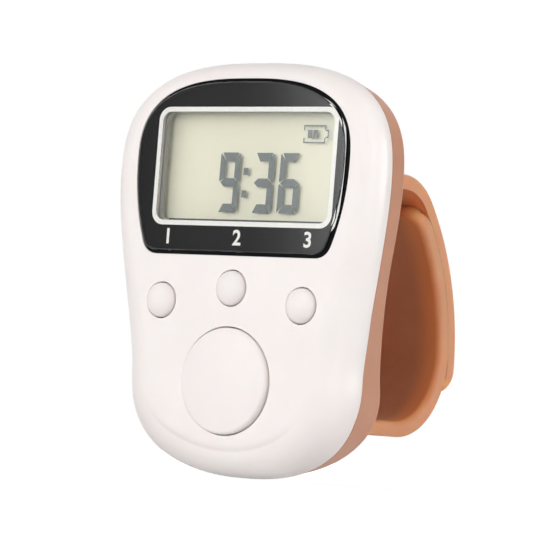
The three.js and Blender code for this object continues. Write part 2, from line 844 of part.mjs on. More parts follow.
// One face of the lower strap, which lies inside the upper one.
function lowerFace(offset) {
  return [
    new THREE.Vector2(lower_pin_y, lower_pin_height - offset),
    ...arcPoints(heel, heel.r + offset, -90, heel_angle),
    ...arcPoints(back, back.r - inner_shift + offset, heel_angle, shoulder_angle).slice(1),
    ...arcPoints(shoulder, shoulder.r - inner_shift + offset, shoulder_angle, tip_turn).slice(1),
  ];
}

// A band with eased edges, an eye for its pin and round corners at its tip.
function strap(face, pin_y, pin_z, tip_y, tip_z, heading) {
  const half = strap_thickness / 2;
  const loop = [...face(half), ...face(-half).reverse()];
  let band = extrudeX(new THREE.Shape(loop), -strap_half_width, strap_half_width, strap_edge);
  const far = case_top - case_bottom + heel.r;
  const plan = roundedRectangle(strap_half_width + strap_gap, -2 * far, 0, strap_corner);
  const options = { depth: 4 * far, bevelEnabled: false, curveSegments: 8 };
  const cutter = new THREE.ExtrudeGeometry(plan, options).rotateX(Math.PI / 2).translate(0, 2 * far, 0);
  cutter.rotateX(heading).translate(0, tip_y, tip_z);
  band = band.intersect(solid(cutter));
  band = band.add(barX(pin_y, pin_z, eye_radius, strap_half_width));
  return band.subtract(barX(pin_y, pin_z, pin_radius + pin_gap, strap_half_width + overrun));
}

function upperStrap() {
  const band = strap(upperFace, upper_pin_y, upper_pin_height, 0, upper_strap_end, Math.PI);
  const slot = roundedRectangle(slot_half_width, slot_bottom, slot_top, slot_half_width);
  return band.subtract(extrudeY(slot, shoulder_start, heel.y + back.r, 8));
}

function stud(height) {
  const radius = back.r - inner_shift;
  const angle = Math.asin((height - back.z) / radius);
  const neck = inner_shift + strap_thickness / 2;
  const bar = (wide, from, to) => {
    const geometry = new THREE.CylinderGeometry(wide, wide, to - from, 20);
    return solid(geometry.translate(0, radius + (from + to) / 2, 0).rotateX(angle).translate(0, back.y, back.z));
  };
  return bar(stud_neck_radius, 0, neck + stud_head).add(bar(stud_radius, neck + strap_gap, neck + stud_head));
}

function lowerStrap() {
  const tip = arcPoints(shoulder, shoulder.r - inner_shift, shoulder_angle, tip_turn).pop();
  const band = strap(lowerFace, lower_pin_y, lower_pin_height, tip.x, tip.y, radians(tip_turn));
  return stud_heights.reduce((joined, height) => joined.add(stud(height)), band);
}

function strapPin(pin_y, pin_z) {
  return barX(pin_y, pin_z, pin_radius, pin_half_length, 20);
}

const counter = new THREE.Group();
counter.name = "digital_tally_counter";

function add(name, shape, finish) {
  const mesh = shape.getMesh();
  const geometry = new THREE.BufferGeometry();
  geometry.setAttribute("position", new THREE.BufferAttribute(new Float32Array(mesh.vertProperties), 3));
  geometry.setIndex(new THREE.BufferAttribute(new Uint32Array(mesh.triVerts), 1));
  const flat = geometry.toNonIndexed();
  flat.computeVertexNormals();
  const [color, roughness, metalness] = finishes[finish];
  const material = new THREE.MeshStandardMaterial({ color, roughness, metalness });
  const node = new THREE.Mesh(flat, material);
  node.name = name;
  counter.add(node);
}

add("front_shell", frontShell(), "white");
add("display_lens", displayLens(), "smoked");
add("lens_adhesive", lensAdhesive(), "black");
for (const name of ["reset", "lock", "light"]) add(`${name}_button`, smallButton(button_places[name]), "white");
add("count_button", countButton(), "white");
for (const [name, place] of Object.entries(button_places)) {
  add(`${name}_switch`, switchBody(place), "black");
  add(`${name}_plunger`, switchPlunger(place), "steel");
}
add("display_holder", displayHolder(), "holder");
add("top_polariser", displayLayer(top_film_front, film, ledge), "film");
add("display_top_glass", displayLayer(top_glass_front, glass), "clear");
add("display_low_glass", displayLayer(low_glass_front, glass, ledge), "clear");
add("low_polariser", displayLayer(low_film_front, film, ledge), "film");
add("light_guide", lightGuide(), "clear");
add("reflector", displayLayer(reflector_front, film, ledge), "film");
add("zebra_strip", zebraStrip(), "rubber");
add("left_backlight", backlight(-1), "clear");
add("right_backlight", backlight(1), "clear");
add("circuit_board", circuitBoard(), "board");
add("controller_chip", controllerChip(), "black");
add("crystal", boardPart(crystal_place, crystal_size), "steel");
capacitor_places.forEach((place, i) => add(`capacitor_${i + 1}`, boardPart(place, capacitor_size), "ceramic"));
add("battery_cell", batteryCell(), "steel");
add("negative_contact", negativeContact(), "brass");
add("positive_contact", positiveContact(), "brass");
add("back_cover", backCover(), "tan");
case_screw_places.forEach((place, i) => {
  const level = i === 0 ? "upper" : "lower";
  add(`${level}_left_screw`, caseScrew(place, -1), "steel");
  add(`${level}_right_screw`, caseScrew(place, 1), "steel");
});
add("board_left_screw", boardScrew(-1), "steel");
add("board_right_screw", boardScrew(1), "steel");
add("upper_strap", upperStrap(), "silicone");
add("lower_strap", lowerStrap(), "silicone");
add("upper_strap_pin", strapPin(upper_pin_y, upper_pin_height), "steel");
add("lower_strap_pin", strapPin(lower_pin_y, lower_pin_height), "steel");

export default counter;
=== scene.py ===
# A digital tally counter worn on a finger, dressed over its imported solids: white moulded shell,
# printed display lens, domed keys, tan back cover and a silicone strap of two bands.
# Sizes are in millimetres here and turned to metres as each mesh is made. +Z is up along the case,
# the front faces -Y, and a depth is measured back from the front face.
import math

import bpy
import numpy as np
from mathutils import Matrix, Vector


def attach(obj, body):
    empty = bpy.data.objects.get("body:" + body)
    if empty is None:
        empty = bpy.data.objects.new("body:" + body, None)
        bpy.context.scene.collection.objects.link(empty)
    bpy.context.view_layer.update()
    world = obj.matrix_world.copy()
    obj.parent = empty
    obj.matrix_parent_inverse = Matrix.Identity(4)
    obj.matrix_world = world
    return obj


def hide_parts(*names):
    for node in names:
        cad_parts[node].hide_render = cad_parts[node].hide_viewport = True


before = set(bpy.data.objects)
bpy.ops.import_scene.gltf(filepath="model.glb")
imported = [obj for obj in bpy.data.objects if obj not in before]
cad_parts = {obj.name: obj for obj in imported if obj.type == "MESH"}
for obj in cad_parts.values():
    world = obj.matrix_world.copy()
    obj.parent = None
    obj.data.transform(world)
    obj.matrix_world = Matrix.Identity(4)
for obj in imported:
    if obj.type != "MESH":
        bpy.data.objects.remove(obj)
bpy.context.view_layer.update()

MM = 0.001

# Case outline
CASE_TOP = 15.2
CASE_BOTTOM = -27.55
UPPER_HALF_WIDTH = 16.8
UPPER_WIDTH_HEIGHT = 3.25
LOWER_HALF_WIDTH = 14.2
LOWER_WIDTH_HEIGHT = -16.85
TOP_FULLNESS = 2.75
BOTTOM_FULLNESS = 2.4
TAPER_HANDLES = (0.27, 0.12)
CASE_MIDDLE = (0.0, -6.2)
OUTLINE_COUNT = 420
CURVE_STEPS = 200
BACK_STEPS = 120

# Case depth
SEAT_DEPTH = 6.6
BULGE_DEPTH = 10.1
HEEL_DEPTH = 8.6
SEAT_LOW_END = -4.0
BULGE_HEIGHT = -20.5
HEEL_HANDLES = (0.3, 0.5)
BULGE_HANDLES = (0.25, 0.42)
SEAM_TOP_DEPTH = 2.7
SEAM_BOTTOM_DEPTH = 5.05
SEAM_BEND = 1.7
TOP_EDGE_RADIUS = 2.4
BOTTOM_EDGE_RADIUS = 4.4
SIDE_DRAFT = 0.2
SIDE_WALL = 1.3
PLATE = 1.6
BACK_WALL = 1.1
BACK_EDGE_RADIUS = 1.25
SEAM_CHAMFER = 0.07
SEAM_GAP = 0.02
SIDE_LEAST = 0.01
INNER_RADIUS = 0.9
FRONT_RINGS = 90
FRONT_EDGE_RINGS = 56
INNER_EDGE_RINGS = 4
COVER_SIDE_RINGS = 6
COVER_EDGE_RINGS = 8
BACK_RINGS = 50
INSIDE_RINGS = 16

# Thumb hollow and the pad round the count key
HOLLOW_DEPTH = 0.45
HOLLOW_SLOPE = (9.5, 23.5)
HOLLOW_SIDES = (3.5, 11.5)
PAD_HEIGHT = -18.3
PAD_HALF_WIDTH = 10.6
PAD_DOWN = 6.65
PAD_ROLL = 0.65
PAD_STEP = 0.18
PAD_LIP = 1.8
PAD_FADE = (0.35, 0.85)

# Lens, print and window
LENS_TOP = 12.97
LENS_BOTTOM = -4.6
LENS_HALF_WIDTH = 13.12
LENS_FOOT_HALF_WIDTH = 11.37
LENS_WIDTH_HEIGHT = 4.8
LENS_CORNER = 1.3
LENS_SIDE_SHARE = 0.2
LENS_BEND_SHARE = 0.1
LENS_STAND = 0.4
LENS_MIDDLE = (0.0, -7.0, 4.0)
LENS_BACK = 0.85
LENS_BEVEL = 0.12
LENS_EASE = 0.06
LENS_COUNT = 260
LENS_GAP = 0.37
POCKET_DEPTH = 1.03
POCKET_EASE = 0.09
POCKET_EASE_RINGS = 6
# A black fill in the gap round the lens, partly painted shade: how deep its front lies, how far it bites
# into the lens, and its clearances at the pocket wall and at the back
GAP_FILL_DEPTH = 0.12
GAP_FILL_BITE = 0.03
GAP_FILL_CLEARANCE = 0.01
GAP_FILL_BACK_CLEARANCE = 0.02
PRINT_DEPTH = 0.78
PRINT_THICKNESS = 0.04
PRINT_EDGE = 0.05
WINDOW_MIDDLE = 0.2
WINDOW_HALF_WIDTH = 10.93
WINDOW_TOP = 9.92
WINDOW_BOTTOM = -1.42
WINDOW_CORNER = 1.05
WINDOW_CORNER_STEPS = 12
WINDOW_COUNT = 160
PRINT_COUNT = 400
FRAME_LINE = 0.5
LINE_CORNER_SHARE = 0.7
LINE_DEPTH = 0.76
LINE_THICKNESS = 0.018
SHELL_WINDOW_MARGIN = 0.3
NUMBER_SIZE = 2.2
NUMBER_HEIGHT = -3.18
NUMBER_DEPTH = 0.769
NUMBER_THICKNESS = 0.018
NUMBER_SWELL = 0.05

# Display
CELL_FRONT = 2.23
CELL_BACK = 3.41
SEGMENT_DEPTH = 2.6
SEGMENT_THICKNESS = 0.02
REFLECTOR_DEPTH = 3.14
HOLDER_HALF_WIDTH = 12.2
HOLDER_TOP = 11.25
HOLDER_BOTTOM = -2.75
LAYER_CORNER = 1.2
LAYER_CORNER_STEPS = 8
GLASS_MARGIN = 0.5
REFLECTOR_MARGIN = 0.6
REFLECTOR_BACK_GAP = 0.05

# Keys
SMALL_HOLE_RADIUS = 1.91
SMALL_HOLE_SIDES = 64
SMALL_KEY_SIDES = 72
SMALL_KEY_RINGS = 16
COUNT_SIDES = 128
COUNT_EDGE_RINGS = 9
COUNT_FACE_RINGS = 16
SMALL_KEY_RADIUS = 1.8
SMALL_KEY_STAND = 0.85
SMALL_KEY_SIDE = 0.12
SMALL_KEY_FULLNESS = 2.15
COUNT_HOLE_RADIUS = 5.58
COUNT_KEY_RADIUS = 5.47
COUNT_KEY_EDGE = 0.45
COUNT_KEY_SIDE = 0.16
COUNT_KEY_SLOPE = 10.0
HOLE_EASE = 0.08
HOLE_EASE_RINGS = 5
KEY_PLACES = {
    "reset": (-8.9, -9.8),
    "lock": (0.0, -8.3),
    "light": (8.9, -9.8),
    "count": (0.0, -17.8),
}
NUMBERED_KEYS = ("reset", "lock", "light")
FLANGE_WIDTH = 0.42
FLANGE_FRONT = 1.7
FLANGE_BACK = 2.2
STEM_RADIUS = 0.7
STEM_BACK = 2.83

# How far a cutter stands out at the front, behind a plate and elsewhere, and how far in front of a
# face a flare starts, as a share of its radius
CUTTER_FRONT = 1.5
CUTTER_BACK = 0.3
CUTTER_OUT = 2.0
FLARE_LIFT = 0.02

# Screws, and posts and holes with the radius, front and back of each
CASE_SCREWS = ((5.04, 12.4), (10.7, -14.5))
CASE_HEAD_BACKS = (6.4, 9.2)
CASE_HEAD_RADIUS = 1.1
CASE_HEAD_HEIGHT = 0.7
CASE_HEAD_DOME = 0.16
RECESS_WIDTH = 0.28
RECESS_LENGTH = 1.25
RECESS_DEPTH = 0.45
RECESS_OUT = 1.0
SHANK_BITE = 0.1
SCREW_RADIUS = 0.45
SCREW_TIP_DEPTH = 2.72
BOARD_SCREW = (12.9, -5.0)
POST = (0.95, 0.8, 4.82)
BOARD_POST = (1.1, 0.8, 4.12)
POST_SIDES = 28
PILOT = (0.5, 2.62, 6.0)
BOARD_PILOT = (0.5, 1.92, 6.0)
PILOT_SIDES = 20
SHANK_HOLE = (0.5, 4.0, 11.0)
SHANK_HOLE_SIDES = 24
BOSS_RADIUS = 1.75
BOSS_FRONT = 5.02
BOSS_SUNK = 0.4
BOSS_SIDES = 40
HEAD_CLEARANCE = 0.08
HEAD_RINGS = 7
SEAT_CLEARANCE = 0.05
WELL_EASE = 0.12
WELL_EASE_RINGS = 4
WELL_PROUD = 0.004
SHANK_SIDES = 32

# Straps
STRAP_HALF_WIDTH = 7.5
STRAP_THICKNESS = 1.6
# A face's edge radius, and how much closer than its own place it stands
STRAP_EDGE = 0.5
OUTSIDE_FACE = (STRAP_EDGE, 0.0)
MEETING_FACE = (0.05, 0.03)
INSIDE_FACE = (0.75, 0.0)
STRAP_GAP = 0.08
STRAP_CORNER = 2.6
STRAP_THINNEST = 0.06
STRAP_RING_STEP = 0.45
STRAP_CORNER_STEPS = 7
STRAP_FACE_STEPS = 11
ARC_STEP = 0.3
HEADING_STEP = 0.25
EYE_RADIUS = 1.15
EYE_LENGTH = 2.6
EYE_END = 2.0
EYE_BLEND = 0.12
NOSE_BLEND = 0.001
BAND_START = 3.0
EYE_RINGS = 14
TIP_RINGS = 16
BORE_RADIUS = 0.68
PIN_RADIUS = 0.6
PIN_HALF_LENGTH = 8.85
PIN_DOME = 0.15
PIN_END_GAP = 0.08
PIN_SIDES = 40
PIN_DOME_RINGS = 5
LUG_INNER = 7.75
LUG_OUTER = 9.25
LUG_RADIUS = 1.45
LUG_FILLET = 0.55
LUG_EASE = 0.18
LUG_SUNK = 0.6
LUG_TOE = 0.02
LUG_EASE_RINGS = 3
LUG_FILLET_STEPS = 6
LUG_NOSE_STEPS = 26
UPPER_PIN = (1.3, 5.0)
LOWER_PIN = (4.8, -21.2)
SHOULDER_RADIUS = 6.0
SHOULDER_START = 13.25
SHOULDER_TURN = 47.5
BACK_RADIUS = 25.5
HEEL_RADIUS = 8.2
UPPER_TAIL = 2.75
TIP_TURN = 50.0
SLOT_HALF_WIDTH = 1.25
SLOT_TOP = 1.2
SLOT_BOTTOM = -13.0
SLOT_EASE = 0.25
SLOT_CLEARANCE = 2.0
SLOT_END_STEPS = 24
SLOT_EASE_RINGS = 4
STUD_HEIGHTS = (-4.0, -7.6)
STUD_RADIUS = 1.05
STUD_NECK_RADIUS = 0.75
STUD_HEAD = 0.45
STUD_ROOT = 0.2
STUD_FILLET = 0.2
STUD_LIP = 0.05
STUD_RIM = 0.03
STUD_FULLNESS = 0.8
STUD_SIDES = 40
STUD_RINGS = 8
STUD_FILLET_RINGS = 4


def y_at(depth):
    return depth - SEAT_DEPTH


def smoothstep(value, low, high):
    share = np.clip((value - low) / (high - low), 0, 1)
    return share * share * (3 - 2 * share)


def bezier(a, b, c, d, t):
    s = 1 - t
    return a * s**3 + 3 * b * s * s * t + 3 * c * s * t * t + d * t**3


def full_quarter(half_width, height, fullness, share):
    """Points of a rounded square's quarter: share 0 is out to the side, 1 is on the middle line."""
    angle = share * np.pi / 2
    across = np.maximum(np.cos(angle), 0) ** (2 / fullness)
    return np.column_stack([half_width * across, height * np.sin(angle) ** (2 / fullness)])


def resampled(loop, count):
    """A closed loop of x and z points, evenly spaced, with each point's outward direction."""
    closed = np.vstack([loop, loop[:1]])
    reach = np.concatenate([[0], np.cumsum(np.linalg.norm(np.diff(closed, axis=0), axis=1))])
    at = np.arange(count) / count * reach[-1]
    points = np.column_stack([np.interp(at, reach, closed[:, k]) for k in (0, 1)])
    along = np.roll(points, -1, axis=0) - np.roll(points, 1, axis=0)
    along /= np.linalg.norm(along, axis=1)[:, None]
    return points, np.column_stack([-along[:, 1], along[:, 0]])


def case_outline():
    """The case's outline, clockwise from the middle of its top as seen from the front."""
    share = np.linspace(1, 0, CURVE_STEPS * 2)
    high, low = UPPER_WIDTH_HEIGHT, LOWER_WIDTH_HEIGHT
    arch = full_quarter(UPPER_HALF_WIDTH, CASE_TOP - high, TOP_FULLNESS, share)
    arch[:, 1] += high
    near, far = ((high - low) * handle for handle in TAPER_HANDLES)
    t = np.linspace(0, 1, CURVE_STEPS)[1:]
    side = np.column_stack([
        bezier(UPPER_HALF_WIDTH, UPPER_HALF_WIDTH, LOWER_HALF_WIDTH, LOWER_HALF_WIDTH, t),
        bezier(high, high - near, low + far, low, t),
    ])
    foot = full_quarter(LOWER_HALF_WIDTH, low - CASE_BOTTOM, BOTTOM_FULLNESS, share[::-1][1:])
    foot[:, 1] = low - foot[:, 1]
    half = np.vstack([arch, side, foot])
    other = half[1:-1][::-1] * (-1, 1)
    return resampled(np.vstack([half, other]), OUTLINE_COUNT)


OUTLINE, OUTWARD = case_outline()


def seam_depth(z):
    down = np.clip((CASE_TOP - z) / (CASE_TOP - CASE_BOTTOM), 0, 1)
    return SEAM_TOP_DEPTH + (SEAM_BOTTOM_DEPTH - SEAM_TOP_DEPTH) * down**SEAM_BEND


def edge_radius(z):
    down = smoothstep(-z, -UPPER_WIDTH_HEIGHT, -BULGE_HEIGHT)
    return TOP_EDGE_RADIUS + (BOTTOM_EDGE_RADIUS - TOP_EDGE_RADIUS) * down


def back_profile():
    """The back face's heights and depths, from the heel up to the finger seat."""
    t = np.linspace(0, 1, BACK_STEPS)
    heights, depths = [], []
    for low, high, handles, start, end in (
        (CASE_BOTTOM, BULGE_HEIGHT, HEEL_HANDLES, HEEL_DEPTH, BULGE_DEPTH),
        (BULGE_HEIGHT, SEAT_LOW_END, BULGE_HANDLES, BULGE_DEPTH, SEAT_DEPTH),
    ):
        rise = high - low
        heights.append(bezier(low, low + rise * handles[0], high - rise * handles[1], high, t))
        depths.append(bezier(start, start, end, end, t))
    return np.concatenate([heights[0], heights[1][1:]]), np.concatenate([depths[0], depths[1][1:]])


BACK_HEIGHTS, BACK_DEPTHS = back_profile()


def back_depth(z):
    return np.interp(z, BACK_HEIGHTS, BACK_DEPTHS)


def front_sink(x, z):
    """How far the front lies below its flat face. A hollow for the thumb deepens towards the foot and
    runs out at the sides. The pad under the thumb rolls down to a crease at its lower edge, and the
    foot's lip comes up again from there."""
    hollow = HOLLOW_DEPTH * smoothstep(-z, *HOLLOW_SLOPE) * (1 - smoothstep(np.abs(x), *HOLLOW_SIDES))
    down, across = (PAD_HEIGHT - z) / PAD_DOWN, np.abs(x) / PAD_HALF_WIDTH
    inside = (1 - np.hypot(across, down)) * PAD_DOWN
    roll = np.clip(1 - inside / PAD_ROLL, 0, 1)
    turn = np.arctan2(across, down) / (np.pi / 2)
    lip = np.clip(1 + inside / PAD_LIP, 0, 1)
    return hollow + PAD_STEP * roll**2 * lip**2 * (1 - smoothstep(turn, *PAD_FADE))


def soft_max(a, b, blend):
    return (a + b + np.sqrt((a - b) ** 2 + blend * blend)) / 2


# Meshes are pairs of points in millimetres and faces


def circle(place, radius, sides):
    angles = np.linspace(0, 2 * np.pi, sides, endpoint=False)
    return np.array(place) + radius * np.column_stack([np.cos(angles), np.sin(angles)])


def quarter(steps):
    """A quarter turn's steps: a share that grows from 0 to 1, slowly at first, and one that shrinks
    from 1 to 0, fast at first. Together they round an edge off."""
    angles = np.linspace(0, np.pi / 2, steps + 1)
    return list(zip(1 - np.cos(angles), 1 - np.sin(angles)))


def rounded_box(middle, half, low, high, corner, steps):
    """A rectangle with round corners, clockwise from the right end of its top."""
    points = []
    right, left = middle + half - corner, middle - half + corner
    top, bottom = high - corner, low + corner
    for x, z, start in ((right, top, 90), (right, bottom, 0), (left, bottom, -90), (left, top, -180)):
        angles = np.radians(start - np.linspace(0, 90, steps))
        points.append(np.column_stack([x + corner * np.cos(angles), z + corner * np.sin(angles)]))
    return np.vstack(points)


def ring_at(points, depth):
    """Points in x and z, and a depth or one for each, as a ring in space."""
    depth = np.broadcast_to(depth, len(points))
    return np.column_stack([points[:, 0], y_at(depth), points[:, 1]])


def toward_middle(rim, shares, depth_at):
    """Rings between the case's middle and a rim, at a depth that follows their points."""
    middle = np.array(CASE_MIDDLE)
    rings = []
    for share in shares:
        points = middle + (rim - middle) * share
        rings.append(ring_at(points, depth_at(points[:, 0], points[:, 1])))
    return rings


def case_middle(depth):
    return CASE_MIDDLE[0], y_at(depth), CASE_MIDDLE[1]


def case_ring(inward, depth):
    """A ring of the case's outline moved inward, at a depth that may follow each point."""
    inward = np.broadcast_to(inward, OUTLINE_COUNT)
    points = OUTLINE - OUTWARD * inward[:, None]
    if callable(depth):
        depth = depth(points[:, 0], points[:, 1])
    return ring_at(points, depth)


def loft(rings, first=None, last=None):
    """Quads between closed rings of one count, with a fan to a point or a flat face at each end."""
    count = len(rings[0])
    points = [np.asarray(ring, float) for ring in rings]
    faces = []
    for k in range(len(rings) - 1):
        a, b = k * count, (k + 1) * count
        for i in range(count):
            j = (i + 1) % count
            faces.append((a + i, b + i, b + j, a + j))
    total = count * len(rings)
    for end, base, way in ((first, 0, 1), (last, total - count, -1)):
        if end is None:
            faces.append(tuple(range(base, base + count))[::way])
            continue
        points.append(np.asarray([end], float))
        faces += [(base + i, base + (i + 1) % count)[::way] + (total,) for i in range(count)]
        total += 1
    return np.vstack(points), faces


def volume_of(points, faces):
    total = 0.0
    for face in faces:
        a = points[face[0]]
        for k in range(1, len(face) - 1):
            total += np.dot(a, np.cross(points[face[k]], points[face[k + 1]]))
    return total


def added(name, data):
    """A new object in the scene."""
    piece = bpy.data.objects.new(name, data)
    bpy.context.scene.collection.objects.link(piece)
    return piece


def mesh_of(name, points, faces):
    mesh = bpy.data.meshes.new(name)
    mesh.from_pydata(points, [], faces)
    return mesh


def outwards(shape):
    """A shape's points and its faces, turned so that they point outwards."""
    points, faces = shape
    return points, [face[::-1] for face in faces] if volume_of(points, faces) < 0 else faces


def make(name, shape):
    """An object from a shape."""
    points, faces = outwards(shape)
    mesh = mesh_of(name, (points * MM).tolist(), faces)
    mesh.validate()
    return added(name, mesh)


def settle(piece):
    """Turns a piece's modifiers into its mesh."""
    graph = bpy.context.evaluated_depsgraph_get()
    mesh = bpy.data.meshes.new_from_object(piece.evaluated_get(graph), depsgraph=graph)
    piece.modifiers.clear()
    old = piece.data
    piece.data = mesh
    mesh.name = piece.name
    bpy.data.meshes.remove(old)


def combine(piece, shapes, operation):
    """Cuts shapes from a piece, or joins them to it, one after the other."""
    for shape in shapes:
        tool = make("tool", shape)
        step = piece.modifiers.new("step", "BOOLEAN")
        step.operation = operation
        step.solver = "MANIFOLD"
        step.object = tool
        settle(piece)
        bpy.data.objects.remove(tool)
    return piece


def smooth(piece, angle=30, weighted=True):
    """Smooth shading that keeps edges sharper than an angle, with flat faces kept flat."""
    mesh = piece.data
    mesh.polygons.foreach_set("use_smooth", [True] * len(mesh.polygons))
    mesh.set_sharp_from_angle(angle=math.radians(angle))
    if weighted:
        step = piece.modifiers.new("normals", "WEIGHTED_NORMAL")
        step.keep_sharp = True
        settle(piece)
    return piece


def turned(place, profile, sides=48):
    """A turned solid from radius and depth pairs, from its front middle to its back middle."""
    rings = [ring_at(circle(place, radius, sides), depth) for radius, depth in profile[1:-1]]
    first, last = ((place[0], y_at(profile[k][1]), place[1]) for k in (0, -1))
    return loft(rings, first, last)


def bar(place, radius, front, back, sides=48):
    return turned(place, [(0, front), (radius, front), (radius, back), (0, back)], sides)


def cross_bar(place, profile, sides=48):
    """A turned solid along X, from x and radius pairs, round a point in y and z."""
    rings = [np.insert(circle(place, radius, sides), 0, x, axis=1) for x, radius in profile[1:-1]]
    ends = [(profile[k][0], place[0], place[1]) for k in (0, -1)]
    return loft(rings, *ends)


def pin_bore(pin, reach):
    return cross_bar(pin, [(-reach, 0), (-reach, BORE_RADIUS), (reach, BORE_RADIUS), (reach, 0)])


# Front shell


def shell_body():
    radius = edge_radius(OUTLINE[:, 1])
    rim = OUTLINE - OUTWARD * radius[:, None]
    rings = toward_middle(rim, np.linspace(0, 1, FRONT_RINGS)[1:], front_sink)
    for grown, shrunk in quarter(FRONT_EDGE_RINGS)[1:]:
        points = OUTLINE - OUTWARD * (radius * shrunk)[:, None]
        rings.append(ring_at(points, radius * grown + front_sink(points[:, 0], points[:, 1])))
    seam = seam_depth(OUTLINE[:, 1])
    rings.append(case_ring(0, np.maximum(seam - SEAM_CHAMFER, radius + SIDE_LEAST)))
    rings.append(case_ring(SEAM_CHAMFER, seam - SEAM_GAP))
    rings.append(case_ring(SIDE_WALL, lambda x, z: seam_depth(z) - SEAM_GAP))
    for grown, shrunk in quarter(INNER_EDGE_RINGS):
        rings.append(case_ring(SIDE_WALL + INNER_RADIUS * grown, PLATE + INNER_RADIUS * shrunk))
    return loft(rings, case_middle(front_sink(*CASE_MIDDLE)), case_middle(PLATE))


def lens_loop():
    """The lens's outline: arched at the top, drawn in towards its foot."""
    share = np.linspace(1, 0, CURVE_STEPS)
    arch = full_quarter(LENS_HALF_WIDTH, LENS_TOP - LENS_WIDTH_HEIGHT, TOP_FULLNESS, share)
    arch[:, 1] += LENS_WIDTH_HEIGHT
    side = LENS_FOOT_HALF_WIDTH + (LENS_HALF_WIDTH - LENS_FOOT_HALF_WIDTH) * LENS_SIDE_SHARE
    t = np.linspace(0, 1, 60)[1:, None]

    def curve(a, b, c):
        return np.array(a) * (1 - t) ** 2 + 2 * np.array(b) * t * (1 - t) + np.array(c) * t * t

    low = curve(
        (LENS_HALF_WIDTH, LENS_WIDTH_HEIGHT),
        (LENS_HALF_WIDTH, LENS_WIDTH_HEIGHT * LENS_BEND_SHARE),
        (side, LENS_BOTTOM + LENS_CORNER),
    )
    corner = curve(
        (side, LENS_BOTTOM + LENS_CORNER),
        (LENS_FOOT_HALF_WIDTH, LENS_BOTTOM),
        (LENS_FOOT_HALF_WIDTH - LENS_CORNER, LENS_BOTTOM),
    )
    half = np.vstack([arch, low, corner])
    return np.vstack([half, half[1:][::-1] * (-1, 1)])


LENS_POINTS, LENS_OUT = resampled(lens_loop(), LENS_COUNT)


def window_loop(margin, corner, count):
    """A rectangle round the display with round corners, grown by a margin."""
    low, high = WINDOW_BOTTOM - margin, WINDOW_TOP + margin
    half = WINDOW_HALF_WIDTH + margin
    return resampled(rounded_box(WINDOW_MIDDLE, half, low, high, corner, WINDOW_CORNER_STEPS), count)[0]


def lens_ring(margin, depth):
    return ring_at(LENS_POINTS + LENS_OUT * margin, depth)


def eased_pocket():
    """The lens's pocket in the shell, flared where it meets the front face."""
    rings = [lens_ring(LENS_GAP + POCKET_EASE, -CUTTER_FRONT)]
    for grown, shrunk in quarter(POCKET_EASE_RINGS)[::-1]:
        rings.append(lens_ring(LENS_GAP + POCKET_EASE * grown, POCKET_EASE * (shrunk - FLARE_LIFT)))
    rings.append(lens_ring(LENS_GAP, POCKET_DEPTH))
    return loft(rings)


def eased_hole(place, radius, sides, in_hollow):
    """A round hole through the front, flared where it meets the face or the hollow."""

    def ring(wide, depth, sinks=False):
        points = circle(place, wide, sides)
        return ring_at(points, depth + (front_sink(*points.T) if sinks else 0))

    rings = [ring(radius + HOLE_EASE, -CUTTER_FRONT)]
    for grown, shrunk in quarter(HOLE_EASE_RINGS)[::-1]:
        rings.append(ring(radius + HOLE_EASE * grown, HOLE_EASE * (shrunk - FLARE_LIFT), in_hollow))
    rings.append(ring(radius, PLATE + CUTTER_BACK))
    return loft(rings)


def mirrored(places):
    return [(side * x, z) for x, z in places for side in (-1, 1)]


def build_shell():
    shell = make("shell", shell_body())
    case_places, board_places = mirrored(CASE_SCREWS), mirrored([BOARD_SCREW])
    posts = [bar(place, *POST, POST_SIDES) for place in case_places]
    posts += [bar(place, *BOARD_POST, POST_SIDES) for place in board_places]
    combine(shell, posts, "UNION")
    holes = [bar(place, *PILOT, PILOT_SIDES) for place in case_places]
    holes += [bar(place, *BOARD_PILOT, PILOT_SIDES) for place in board_places]
    holes.append(eased_pocket())
    window = window_loop(SHELL_WINDOW_MARGIN, WINDOW_CORNER, WINDOW_COUNT)
    holes.append(loft([ring_at(window, POCKET_DEPTH / 2), ring_at(window, PLATE + CUTTER_BACK)]))
    for key, place in KEY_PLACES.items():
        large = key == "count"
        sizes = (COUNT_HOLE_RADIUS, COUNT_SIDES) if large else (SMALL_HOLE_RADIUS, SMALL_HOLE_SIDES)
        holes.append(eased_hole(place, *sizes, large))
    combine(shell, holes, "DIFFERENCE")
    return smooth(shell)


# Back cover


def draft_inward(depth, seam):
    return SIDE_DRAFT * (depth - seam)


def drafted_wall(moved_in, below_back, seam):
    """How deep a side wall with draft goes and how far in it ends, where it stops short of the back."""
    depth = back_depth(OUTLINE[:, 1]) - below_back
    for _ in range(4):
        inward = moved_in + draft_inward(depth, seam)
        depth = back_depth(OUTLINE[:, 1] - OUTWARD[:, 1] * inward) - below_back
    return depth, moved_in + draft_inward(depth, seam)


